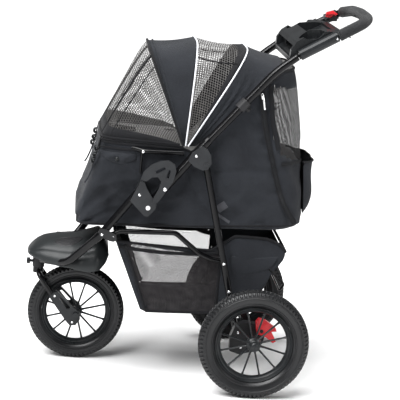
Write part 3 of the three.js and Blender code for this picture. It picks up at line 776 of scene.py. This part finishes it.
# ---------------------------------------------------------------- cabin
FRONT_EDGE = [(424, -497), (438, -507), (454, -508), (525, -489), (610, -462), (668, -452), (700, -448)]
REAR_EDGE = [(440, 108), (462, 124), (490, 126), (632, 113), (740, 97), (862, 76), (900, 66)]
TOP_EDGE = [(-460, 668), (-240, 664), (-205, 650), (-190, 656), (10, 868), (34, 888), (90, 894)]


def cabin_point(u, z, inset=0.0):
    """Plan of the tub at height z. u runs 0 (front middle) to 1 (rear middle) along the left side."""
    xf = lookup(FRONT_EDGE, z) + inset
    xr = lookup(REAR_EDGE, z) - inset
    w = CABIN_Y - inset
    rf, rr = 30, CABIN_REAR_CORNER
    stops = [
        (0.0, "line", (xf, 0), (xf, -(w - rf))),
        (0.16, "arc", (xf + rf, -(w - rf)), (rf, 180, 270)),
        (0.24, "line", (xf + rf, -w), (xr - rr, -w)),
        (0.74, "arc", (xr - rr, -(w - rr)), (rr, 270, 360)),
        (0.90, "line", (xr, -(w - rr)), (xr, 0)),
    ]
    ends = [0.16, 0.24, 0.74, 0.90, 1.0]
    for (start, kind, a, b), end in zip(stops, ends):
        if u <= end + 1e-9:
            t = (u - start) / (end - start)
            if kind == "line":
                return a[0] + (b[0] - a[0]) * t, a[1] + (b[1] - a[1]) * t
            r, a0, a1 = b
            angle = math.radians(a0 + (a1 - a0) * t)
            return a[0] + r * math.cos(angle), a[1] + r * math.sin(angle)
    return xr, 0


def bottom_z(x):
    return 427 + (x + 470) * 0.0364


def side_point(x, z, s, lift):
    """Point on the cabin's outline, where it goes round the rear corner too."""
    corner = CABIN_REAR_CORNER
    reach = min(float(corner), max(0.0, x - lookup(REAR_EDGE, z) + corner))
    y = CABIN_Y - corner + math.sqrt(corner ** 2 - reach ** 2)
    return P(x + lift * reach / corner, s * (y + lift), z)


def seam_x(z):
    return lookup([(470, 98), (536, 56), (650, 18), (745, -10), (826, -24)], z)


# How strong the cabin's folds are, the deepest dent, and the furthest they may stand out by height, in mm.
FOLD_SCALE = 2.4
FOLD_DENT = -9.0
FOLD_LIMIT = [(470, -0.6), (500, 1.0), (540, 5.0), (630, 5.0), (645, 2.0)]


def creases(x, y, z):
    """How far the cloth stands in or out, in mm: slack folds, deepest by the front corner."""
    p = Vector((x, y, z)) / 1000
    soft = noise.noise(p * 6) * 5.5 + (0.35 - abs(noise.noise(p * 9))) * 5.0 + noise.noise(p * 22) * 1.2
    low = max(0.0, 1 - (z - 425) / 230)
    near = max(0.0, 1 - math.hypot(x + 500, (z - 430) * 1.1) / 190)
    fan = math.atan2(z - 395, x + 545)
    gather = (1 - abs(math.sin(fan * 9 + noise.noise(p * 5) * 2)) * 2) * near * 5.0
    slope = (1 - abs(math.sin((x * 0.55 + z * 0.9) / 38 + noise.noise(p * 4) * 3)) * 2) * 2.6 * low
    tug = math.exp(-((x - seam_x(z) + 16) / 18) ** 2) * math.sin(z / 7.5 + noise.noise(p * 9) * 3) * 1.6
    ledge = -2.4 * math.exp(-((z - 612 - x * 0.10) / 9) ** 2) * (1 if -140 < x < 60 else 0)
    swirl = noise.noise(p * 4.5) * 3.2
    ridge = 1 - abs(math.sin((z * 0.9 - x * 0.42) / 21 + swirl)) * 2
    fold = ridge * 2.6 * max(0.0, noise.noise(p * 5 + Vector((3, 0, 7))) + 0.35)
    fold += math.sin((z * 0.5 + x * 0.8) / 11 + swirl * 1.6) * 1.5 * max(0.0, 0.25 - noise.noise(p * 7)) * 1.6
    total = soft * 0.8 + gather + slope + tug + ledge + fold
    return max(FOLD_DENT, min(total * FOLD_SCALE, lookup(FOLD_LIMIT, z)))


def cabin_rows():
    us = [0, 0.04, 0.08, 0.12, 0.16] + [0.16 + 0.08 * k / 5 for k in range(1, 6)]
    us += [0.24 + 0.50 * k / 84 for k in range(1, 85)]
    us += [0.74 + 0.16 * k / 8 for k in range(1, 9)] + [0.90 + 0.10 * k / 4 for k in range(1, 5)]
    vs = [0, 0.012, 0.03] + [0.03 + 0.97 * k / 52 for k in range(1, 53)]
    rows = []
    for j, v in enumerate(vs):
        inset = (9, 2.5, 0)[j] if j < 3 else 0
        half = []
        for u in us:
            z = 550
            for _ in range(6):
                x, y = cabin_point(u, z, inset)
                z0, z1 = bottom_z(x), lookup(TOP_EDGE, x)
                z = z0 + (z1 - z0) * v
            push = 0
            if 2 < j < len(vs) - 1:
                push = creases(x, y, z) * min(1, (len(vs) - 1 - j) / 8)
            k = 1 + push / 170
            half.append(((x, y * k if 0.16 < u < 0.9 else y, z), push, u))
        ring = []
        for (x, y, z), push, u in half:
            shift = 0
            if u <= 0.2:
                shift = -push
            if u >= 0.82:
                shift = push
            ring.append((x + shift * 0.7, y, z))
        rows.append(ring + [(x, -y, z) for x, y, z in ring[-2:0:-1]])
    return len(us), rows


def cabin():
    half, rows = cabin_rows()
    points = [[P(*p) for p in row] for row in rows]
    n = len(points[0])
    cloth_faces, net_faces = [], []
    for i in range(len(points) - 1):
        for k in range(n):
            m = (k + 1) % n
            face = [i * n + k, i * n + m, (i + 1) * n + m, (i + 1) * n + k]
            corners = ((i, k), (i, m), (i + 1, m), (i + 1, k))
            x, z = (sum(rows[a][b][c] for a, b in corners) / 4 for c in (0, 2))
            floor = 672 - max(0.0, x - 27) * 0.5
            window = x > seam_x(z) + 24 and floor < z < 842 and i < len(points) - 2
            (net_faces if window else cloth_faces).append(face)
    verts = [p for row in points for p in row]
    cloth_faces.append(list(range(n)))
    shell = trim("cabin_cloth", (verts, cloth_faces), FABRIC, smooth=50)
    strip_loose(shell)
    shell.data.materials.append(INSIDE)
    thick(shell, 1.6 * MM, -1).modifiers["thickness"].material_offset = 1
    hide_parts("cabin_shell")
    net = build("cabin_rear_netting", verts, net_faces, DARK_NET, "upper_frame", 50, "grey_netting")
    strip_loose(net)
    weave(net, points)

    top = points[-1]
    hem = [p + Vector((0, 0, 1 * MM)) for p in top]
    trim("cabin_rim_binding", sweep(hem + [hem[0]], 3.2 * MM, 10, 0.7), LINING)
    base = points[2]
    welt = [p + (p - P(-190, 0, p.z / MM)).normalized() * -1.8 * MM for p in base]
    trim("cabin_base_welt", sweep(welt + [welt[0]], 2.6 * MM, 8, 0.8), LINING)
    rims = []
    for s in (1, -1):
        line = [side_point(seam_x(z) + 24, z, s, 1.2) for z in range(672, 849, 8)]
        rims.append(sweep(line, 6.5 * MM, 8, 0.3, (1, 0, 0)))
    sill = min(points, key=lambda row: abs(row[half - 1].z / MM - 640))
    line = [p for p in sill if (p.x - AXLE_X) / MM > seam_x(p.z / MM) + 20]
    line.sort(key=lambda p: p.y)
    rims.append(sweep([p + Vector((1.2 * MM, 0, 0)) for p in line], 5.5 * MM, 8, 0.3, (0, 0, 1)))
    trim("rear_net_bindings", merged(rims), LINING)


def strip_loose(obj):
    bm = bmesh.new()
    bm.from_mesh(obj.data)
    bmesh.ops.delete(bm, geom=[v for v in bm.verts if not v.link_faces], context="VERTS")
    bm.to_mesh(obj.data)
    bm.free()


def on_side(x, z, s, lift=1.2):
    """Point just outside the cabin's side cloth."""
    push = creases(x, -CABIN_Y, z) if z < 655 else 0
    return P(x, s * (CABIN_Y * (1 + push / 170) + lift), z)


def strap(points, width, height, s, lift=0.8, count=8):
    """Flat band on the cabin's side: wide across its run, thin outward."""
    line = smoothed([Vector((x, 0, z)) for x, z in points], count)
    rows = []
    for i, p in enumerate(line):
        a = line[max(i - 1, 0)]
        b = line[min(i + 1, len(line) - 1)]
        t = (b - a).normalized()
        across = Vector((-t.z, 0, t.x)) * width / 2
        lo, hi = p - across, p + across
        ring = []
        for q, out in ((lo, 0), (lo, height), (lo.lerp(hi, 0.5), height * 1.3), (hi, height), (hi, 0)):
            ring.append(on_side(q.x, q.z, s, lift + out))
        rows.append(ring)
    verts, faces = grid(rows, closed=True)
    m = len(rows[0])
    faces.append(list(range(m)))
    faces.append([(len(rows) - 1) * m + k for k in range(m)])
    return verts, faces


def patch(outline, s, height, count=6):
    """A cloth flap on the cabin's side: an upper and a lower edge, filled and standing proud."""
    upper, lower = outline
    a = smoothed([Vector((x, 0, z)) for x, z in upper], count)
    b = smoothed([Vector((x, 0, z)) for x, z in lower], count)
    rows = []
    m = 6
    for i in range(min(len(a), len(b))):
        row = []
        for j in range(m + 1):
            t = j / m
            q = a[i].lerp(b[i], t)
            edge = math.sin(math.pi * t) ** 0.5 if 0 < t < 1 else 0
            ends = math.sin(math.pi * i / (len(a) - 1)) ** 0.4 if 0 < i < len(a) - 1 else 0
            fold = 1 + 0.35 * math.sin(i * 0.9 + j)
            row.append(on_side(q.x, q.z, s, 0.5 + height * edge * ends * fold))
        rows.append(row)
    return grid(rows)


def trims():
    """Seams, zips, flaps and buckles on the cabin."""
    for side, s in SIDES:
        zip_line = [(-24, 826), (-10, 745), (18, 650), (56, 536), (98, 470)]
        tape = strap(zip_line, 15, 1.2, s)
        trim(f"zip_tape_{side}", tape, LINING)
        teeth = smoothed([Vector((x, 0, z)) for x, z in zip_line], 40)
        parts = []
        for a, b in zip(teeth, teeth[1:]):
            mid = a.lerp(b, 0.5)
            t = (b - a).normalized() * 0.9
            across = Vector((-t.z, 0, t.x)).normalized() * 2.4
            p = on_side(mid.x - across.x, mid.z - across.z, s, 2.6)
            q = on_side(mid.x + across.x, mid.z + across.z, s, 2.6)
            parts.append(sweep([p, q], 0.7 * MM, 5))
        build(f"zip_teeth_{side}", *merged(parts), SHINY, "upper_frame", slot="black_plastic")
        pull = [on_side(-21, 816, s, 3.2), on_side(-18, 806, s, 4.4), on_side(-13, 782, s, 4.2)]
        puller = merged([
            sweep(smoothed(pull, 5), 2.6 * MM, 8, 0.45, (1, 0, 0), dome=1 * MM),
            sweep([on_side(-24, 824, s, 3), on_side(-20, 810, s, 3)], 4.2 * MM, 8, 0.5, (1, 0, 0),
                  dome=1.2 * MM),
        ])
        build(f"zip_pull_{side}", *puller, CHROME, "upper_frame", slot="bright_steel")

        parts = [strap([(-450, 664), (-400, 661), (-330, 660), (-232, 657)], 6, 1.4, s)]
        parts.append(strap([(-452, 650), (-400, 647), (-345, 646)], 5, 1.6, s))
        trim(f"cabin_bands_{side}", merged(parts), LINING)
        flap = patch(([(-455, 641), (-424, 637), (-390, 636), (-351, 634)],
                      [(-444, 626), (-423, 612), (-388, 605), (-350, 618)]), s, 5.5)
        piece = trim(f"cabin_flap_{side}", flap, FABRIC, smooth=60)
        thick(piece, 1.4 * MM, 0, 1)
        toggle = rivet(on_side(-404, 619, s, 6.2), s, 6.5, 4.5)
        build(f"cabin_toggle_{side}", *toggle, SHINY, "upper_frame", slot="black_plastic")

        seam = [strap([(-487, 545), (-478, 562), (-462, 608), (-453, 640)], 4, 0.8, s),
                strap([(-214, 640), (-200, 560), (-160, 500), (-118, 462)], 3.0, 0.7, s)]
        trim(f"cabin_seams_{side}", merged(seam), FABRIC)
        tag = [strap([(-118, 494), (-96, 512)], 22, 1.0, s), strap([(-118, 481), (-82, 460)], 7, 1.2, s)]
        trim(f"cabin_tag_{side}", merged(tag), PAD)

    parts = []
    for y in (-148, 148):
        for z, wide in ((641, 13), (622, 9), (606, 12)):
            x = lookup(FRONT_EDGE, z) - 3
            body = [P(x + 2, y, z + wide * 0.5), P(x - 5, y, z + wide * 0.3), P(x - 5.5, y, z - wide * 0.3),
                    P(x + 2, y, z - wide * 0.5)]
            parts.append(sweep(smoothed(body, 4), 3.6 * MM, 8, 2.2, (1, 0, 0), dome=0.8 * MM))
    build("front_buckles", *merged(parts), SHINY, "upper_frame", slot="black_plastic")
    bands = []
    for y in (-148, 148):
        line = [P(lookup(FRONT_EDGE, z) - 1.6, y, z) for z in (668, 650, 630, 610, 590)]
        bands.append(sweep(smoothed(line, 4), 7 * MM, 8, 0.22, (0, 1, 0)))
    trim("front_buckle_webbing", merged(bands), LINING)


def pocket():
    """Rear pocket: a sagging pouch with a bound mouth, widest at the top."""
    rows = []
    levels = [(488, 2), (494, 14), (512, 24), (545, 33), (580, 31), (612, 30), (634, 34)]
    for z, out in levels:
        x0 = lookup(REAR_EDGE, z) + 1.2
        row = []
        for k in range(17):
            t = -1 + 2 * k / 16
            y = 108 * t
            bulge = out * (1 - abs(t) ** 5) ** 0.6 if abs(t) < 1 else 0
            row.append(P(x0 + bulge + 1.8 * math.sin(t * 9 + z * 0.05) * (1 if 0 < k < 16 else 0), y, z))
        rows.append(row)
    bag = trim("pocket_cloth", grid(rows), FABRIC, smooth=60)
    thick(bag, 1.4 * MM, 0, 1)
    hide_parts("rear_pocket")
    trim("pocket_binding", sweep(rows[-1], 3.0 * MM, 8), LINING)


def pad():
    """Floor pad: a quilted cushion on the board."""
    dress("floor_board", PLASTIC)
    rows_top, rows_low = [], []
    nx, ny = 40, 22
    for i in range(nx + 1):
        a = -1 + 2 * i / nx
        top, low = [], []
        for k in range(ny + 1):
            b = -1 + 2 * k / ny
            edge = max(0.0, (1 - abs(a) ** 6) * (1 - abs(b) ** 6)) ** 0.35
            x, y = -196 + 270 * a * (1 - 0.012 * (1 - b * b)), 141 * b * (1 - 0.015 * (1 - a * a))
            base = 440 + (x + 470) * 0.0358
            quilt = abs(math.sin(a * math.pi * 2.5)) ** 0.4 * abs(math.sin(b * math.pi * 1.5)) ** 0.4
            top.append(P(x, y, base + 7 + edge * (5 + 5 * quilt)))
            low.append(P(x, y, base + 7 - edge * 6.4))
        rows_top.append(top)
        rows_low.append(low)
    tv, tf = grid(rows_top)
    lv, lf = grid(rows_low)
    obj = build("floor_cushion", *merged([(tv, tf), (lv, lf)]), PAD, "upper_frame", 60, "pad_fabric")
    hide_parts("floor_pad")


# ---------------------------------------------------------------- basket
BASKET_LOW = [
    (-390, 386), (-376, 352), (-362, 320), (-336, 258), (-309, 196), (-294, 190), (-200, 192), (-100, 197),
    (-60, 214), (-20, 237), (22, 262), (38, 292), (50, 322), (66, 343), (78, 362), (82, 376),
]
BASKET_TOP = [
    (-388, 387), (-376, 385), (-300, 381), (-220, 378), (-140, 376), (-124, 377), (-104, 391), (-88, 402),
    (-62, 421), (-30, 421), (0, 420), (28, 419), (46, 413), (62, 406), (76, 394), (82, 386),
]


def basket():
    n = len(BASKET_LOW)
    y = BASKET_Y
    depth = 14
    cloth_parts, net_parts, net_rows = [], [], []
    bed = []
    for i in range(n):
        x, z = BASKET_LOW[i]
        row = []
        for k in range(17):
            t = -1 + 2 * k / 16
            sag = 5 * (1 - t * t) if 4 <= i <= 9 else 1.5 * (1 - t * t)
            row.append(P(x, y * t, z - min(sag, 4)))
        bed.append(row)
    cloth_parts.append(grid(bed))
    for side, s in SIDES:
        rows = []
        fine = 6
        steps = (n - 1) * fine
        for i in range(steps + 1):
            a, f = divmod(i, fine)
            b = min(a + 1, n - 1)
            f /= fine
            lx, lz = (BASKET_LOW[a][c] * (1 - f) + BASKET_LOW[b][c] * f for c in (0, 1))
            tx, tz = (BASKET_TOP[a][c] * (1 - f) + BASKET_TOP[b][c] * f for c in (0, 1))
            row = []
            for j in range(depth + 1):
                t = j / depth
                x, z = lx + (tx - lx) * t, lz + (tz - lz) * t
                bulge = 3.2 * math.sin(math.pi * t) * math.sin(math.pi * i / steps)
                bulge += 1.6 * noise.noise(Vector((x, s * 50, z)) / 60) * math.sin(math.pi * t)
                row.append(P(x, s * (y + bulge), z))
            rows.append(row)
        verts = [p for row in rows for p in row]
        m = depth + 1
        solid, open_faces = [], []
        for i in range(steps):
            for j in range(depth):
                face = [i * m + j, i * m + j + 1, (i + 1) * m + j + 1, (i + 1) * m + j]
                c = sum((verts[v] for v in face), Vector()) / 4
                x, z = (c.x - AXLE_X) / MM, c.z / MM
                lo_x = -364 + (373 - z) * 0.40
                (open_faces if lo_x < x < -98 and j < depth - 1 else solid).append(face)
        cloth_parts.append((verts, solid))
        net_parts.append((verts, open_faces))
        net_rows += rows
        edge = on_plane(s * (y + 4), [(-363, 376), (-295, 192), (-240, 193), (-100, 198), (-98, 384)])
        trim(f"basket_window_binding_{side}", sweep(rounded(edge, 5 * MM, 3), 3.4 * MM, 8, 0.4), LINING)
        run = on_plane(s * (y + 3), [(-380, 372), (-330, 366), (-250, 362), (-160, 364), (-95, 372)])
        trim(f"basket_band_{side}", sweep(smoothed(run, 6), 5 * MM, 8, 0.35, (0, 0, 1)), LINING)
        lap = smoothed(on_plane(s * (y + 3), [(-70, 366), (-20, 364), (30, 367), (66, 372)]), 6)
        low = smoothed(on_plane(s * (y + 3), [(-66, 306), (-20, 310), (20, 322), (44, 334)]), 6)
        belly = [a.lerp(b, 0.5) + Vector((0, s * 3 * MM, 0)) for a, b in zip(lap, low)]
        pouch = trim(f"basket_side_pocket_{side}", grid([lap, belly, low]), FABRIC, smooth=60)
        thick(pouch, 1.4 * MM, 0, 1)
    cloth_obj = trim("basket_cloth", merged(cloth_parts), FABRIC, smooth=50)
    strip_loose(cloth_obj)
    thick(cloth_obj, 1.4 * MM, 0)
    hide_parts("basket")
    net = build("basket_netting", *merged(net_parts), NET, "upper_frame", 50, "grey_netting")
    strip_loose(net)
    weave(net, net_rows)
    left, right = (on_plane(s * (y + 1), BASKET_TOP) for _, s in SIDES)
    line = left[::-1] + [P(-391, -80, 387), P(-391, 80, 387)] + right + [P(84, 80, 384), P(84, -80, 384)]
    trim("basket_rim", sweep(line + [line[0]], 4.0 * MM, 10), LINING)
    bends = [(40, 334), (88, 292), (76, 273)]
    wire = rounded(on_plane(-y, bends) + on_plane(y, bends[::-1]), 8 * MM)
    build("basket_rear_wire", *sweep(wire, 3 * MM, 12), STEEL, "upper_frame", slot="black_steel")
    names = ["basket_cloth", "basket_netting", "basket_rim", "basket_rear_wire"]
    for side, _ in SIDES:
        names += [f"basket_window_binding_{side}", f"basket_band_{side}", f"basket_side_pocket_{side}"]
    for name in names:
        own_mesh(bpy.data.objects[name])


# ---------------------------------------------------------------- front end
FOOT_HALF = [
    (-632, 30), (-626, 52), (-612, 68), (-590, 81), (-545, 96), (-510, 102), (-485, 119), (-440, 121),
    (-414, 102), (-405, 88),
]
FOOT_TOP = [
    (-632, 316), (-626, 323), (-612, 338), (-590, 351), (-560, 357), (-540, 358), (-500, 362), (-460, 374),
    (-434, 384), (-422, 372), (-411, 350), (-405, 338),
]
FOOT_LOW = [(-632, 307), (-576, 296), (-540, 289), (-460, 284), (-428, 289), (-411, 309), (-405, 328)]


def foot_surface(x, y, lift):
    """Point on the footrest above a place in plan."""
    half, top, low = lookup(FOOT_HALF, x), lookup(FOOT_TOP, x), lookup(FOOT_LOW, x)
    c = min(1.0, (abs(y) / half) ** (1 / 0.74))
    s = math.sqrt(1 - c * c)
    return P(x, y, low + (top - low) * s ** 0.62 + lift)


def foot_point(x, phi):
    """Point on the footrest's skin; phi 0 to 1 runs from the left lower edge over the top."""
    half, top, low = lookup(FOOT_HALF, x), lookup(FOOT_TOP, x), lookup(FOOT_LOW, x)
    angle = math.pi * phi
    c, s = math.cos(angle), math.sin(angle)
    flare = 1 + 0.05 * math.exp(-(s / 0.22) ** 2)
    y = -half * flare * math.copysign(abs(c) ** 0.74, c)
    crease = -2.6 * math.exp(-((abs(s) ** 0.62 - 0.52) / 0.09) ** 2)
    z = low + (top - low) * abs(s) ** 0.62
    k = 1 + crease / half
    return P(x, y * k, z)


def footrest():
    xs = [-632, -630, -626, -620, -612, -602, -590, -575] + list(range(-560, -455, 10))
    xs += [-450, -442, -434, -428, -422, -416, -411, -407, -405]
    rows = [[foot_point(x, k / 48) for k in range(49)] for x in xs]
    front = P(-633.5, 0, 312)
    verts, faces = grid(rows)
    start = len(verts)
    verts.append(front)
    for k in range(48):
        faces.append([start, k + 1, k])
    obj = build("footrest_moulding", verts, faces, SOFT, "front_frame", 60, "black_plastic")
    thick(obj, 3.2 * MM, -1, 1)
    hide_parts("footrest")
    pads = []
    for _, s in SIDES:
        rows = []
        for i in range(15):
            r = i / 14
            row = []
            for k in range(40):
                t = 2 * math.pi * k / 40
                x = -518 + 40 * r * math.cos(t)
                y = s * (56 + 24 * r * math.sin(t))
                knob = 0.0
                if r < 0.86:
                    knob = max(0.0, math.sin(x * 0.62) * math.sin((y + x * 0.5) * 0.62)) * 1.6
                rim = 1.8 if 0.88 < r < 0.96 else 0.6
                row.append(foot_surface(x, y, (rim if r < 0.99 else -1.2) + knob))
            rows.append(row)
        pads.append(grid(rows, closed=True))
    build("footrest_pads", *merged(pads), PLASTIC, "front_frame", 60, "black_plastic")


def fork():
    bends = [(-556, 192), (-597, 250)]
    line = on_plane(-43.5, bends) + on_plane(43.5, bends[::-1])
    parts = [sweep(rounded(line, 16 * MM, 8), 7.4 * MM, 18),
             sweep([P(-600, 0, 246), P(-600, 0, 262)], 15 * MM, 32)]
    steel("fork_tube", merged(parts), "fork", "fork_crown")
    for side, s in SIDES:
        dress(f"fork_arm_{side}", SHINY, 0.0022)
        studs(f"fork_bolts_{side}", "fork", s, [(-548, 50.4, 190, 3.6), (-494, 50.4, 116, 3.6)])
    dress("front_axle", SHINY, 0.0008)
    dress("steering_head", PLASTIC, 0.001)
    dress("swivel_lock_knob", SHINY, 0.0015)


FITTINGS = [
    ("elbow_bracket", GREY, 0.0012), ("latch_lever", GREY, 0.0011), ("hinge_plate", GREY, 0.0011),
    ("rail_bracket", PLASTIC, 0.0008), ("elbow_pin", CHROME, 0.0006), ("tube_clamp", PLASTIC, 0.0012),
    ("wheel_bracket", PLASTIC, 0.002), ("brake_pedal", RED, 0.0016),
]


def hardware():
    """Plates, latches, brackets and brakes keep their CAD shape, with rounded edges and rivets."""
    for side, s in SIDES:
        for part, material, edge in FITTINGS:
            dress(f"{part}_{side}", material, edge)
        studs(f"elbow_rivets_{side}", "front_frame", s, [(-337, 206.2, 530, 4.2)])
        studs(f"elbow_cap_{side}", "upper_frame", s, [(-312, 208.4, 496, 4.4)])
        studs(f"hinge_rivets_{side}", "upper_frame", s, [(-192, 206.2, 647, 4.2), (-163, 206.2, 625, 4.4)])
        studs(f"rail_rivets_{side}", "front_frame", s, [(-431, 204.2, 413, 4.0), (-400, 204.2, 406, 4.0)])
        studs(f"bracket_rivets_{side}", "rear_frame", s,
              [(-38, 228, 166, 4.2), (25, 228, 168, 3.6), (-28, 228, 124, 4.2)])
    dress("axle_beam", STEEL, 0.0012)
    dress("console_tray", SHINY, 0.0018)
    for name in ("canopy_bow_front", "canopy_bow_middle", "canopy_bow_rear"):
        dress(name, STEEL)


# ---------------------------------------------------------------- studio
def studio():
    floor_mesh = bpy.data.meshes.new("floor")
    reach = 60.0
    corners = [(-reach, -reach, 0), (reach, -reach, 0), (reach, reach, 0), (-reach, reach, 0)]
    floor_mesh.from_pydata(corners, [], [(0, 1, 2, 3)])
    floor = bpy.data.objects.new("floor", floor_mesh)
    bpy.context.scene.collection.objects.link(floor)
    n = Nodes("pale_floor")
    tone = n.noise(3, 3)
    shade = n.ramp(tone, (0.87, 0.87, 0.87), (0.89, 0.89, 0.89))
    floor_mesh.materials.append(n.finish(shade, n.span(tone, 0.55, 0.7)))

    world = bpy.data.worlds.new("studio")
    bpy.context.scene.world = world
    world.use_nodes = True
    sky = world.node_tree.nodes["Background"]
    sky.inputs["Color"].default_value = (1, 1, 1, 1)
    sky.inputs["Strength"].default_value = 0.16

    def area(name, where, size, power, target):
        data = bpy.data.lights.new(name, "AREA")
        data.shape = "RECTANGLE"
        data.size, data.size_y = size
        data.energy = power
        lamp = bpy.data.objects.new(name, data)
        lamp.location = where
        lamp.rotation_euler = (Vector(target) - Vector(where)).to_track_quat("-Z", "Y").to_euler()
        bpy.context.scene.collection.objects.link(lamp)

    sun = bpy.data.lights.new("overhead", "SUN")
    sun.energy = 4.1
    sun.angle = math.radians(52)
    lamp = bpy.data.objects.new("overhead", sun)
    lamp.rotation_euler = Vector((0.42, 0.38, -1)).to_track_quat("-Z", "Y").to_euler()
    bpy.context.scene.collection.objects.link(lamp)
    area("key", (-1.6, -2.4, 2.4), (0.3, 2.2), 48, (0, 0, 0.6))
    area("top", (0.2, 0.2, 3.0), (2.4, 0.7), 40, (0, 0, 0.5))
    area("fill", (2.6, -1.8, 1.6), (0.6, 1.6), 25, (0, 0, 0.5))
    bpy.context.scene.view_settings.view_transform = "Standard"
    bpy.context.scene.view_settings.look = "Medium High Contrast"


tubes()
handle()
wheels()
canopy()
hood()
cabin()
trims()
pocket()
pad()
basket()
footrest()
fork()
hardware()
studio()
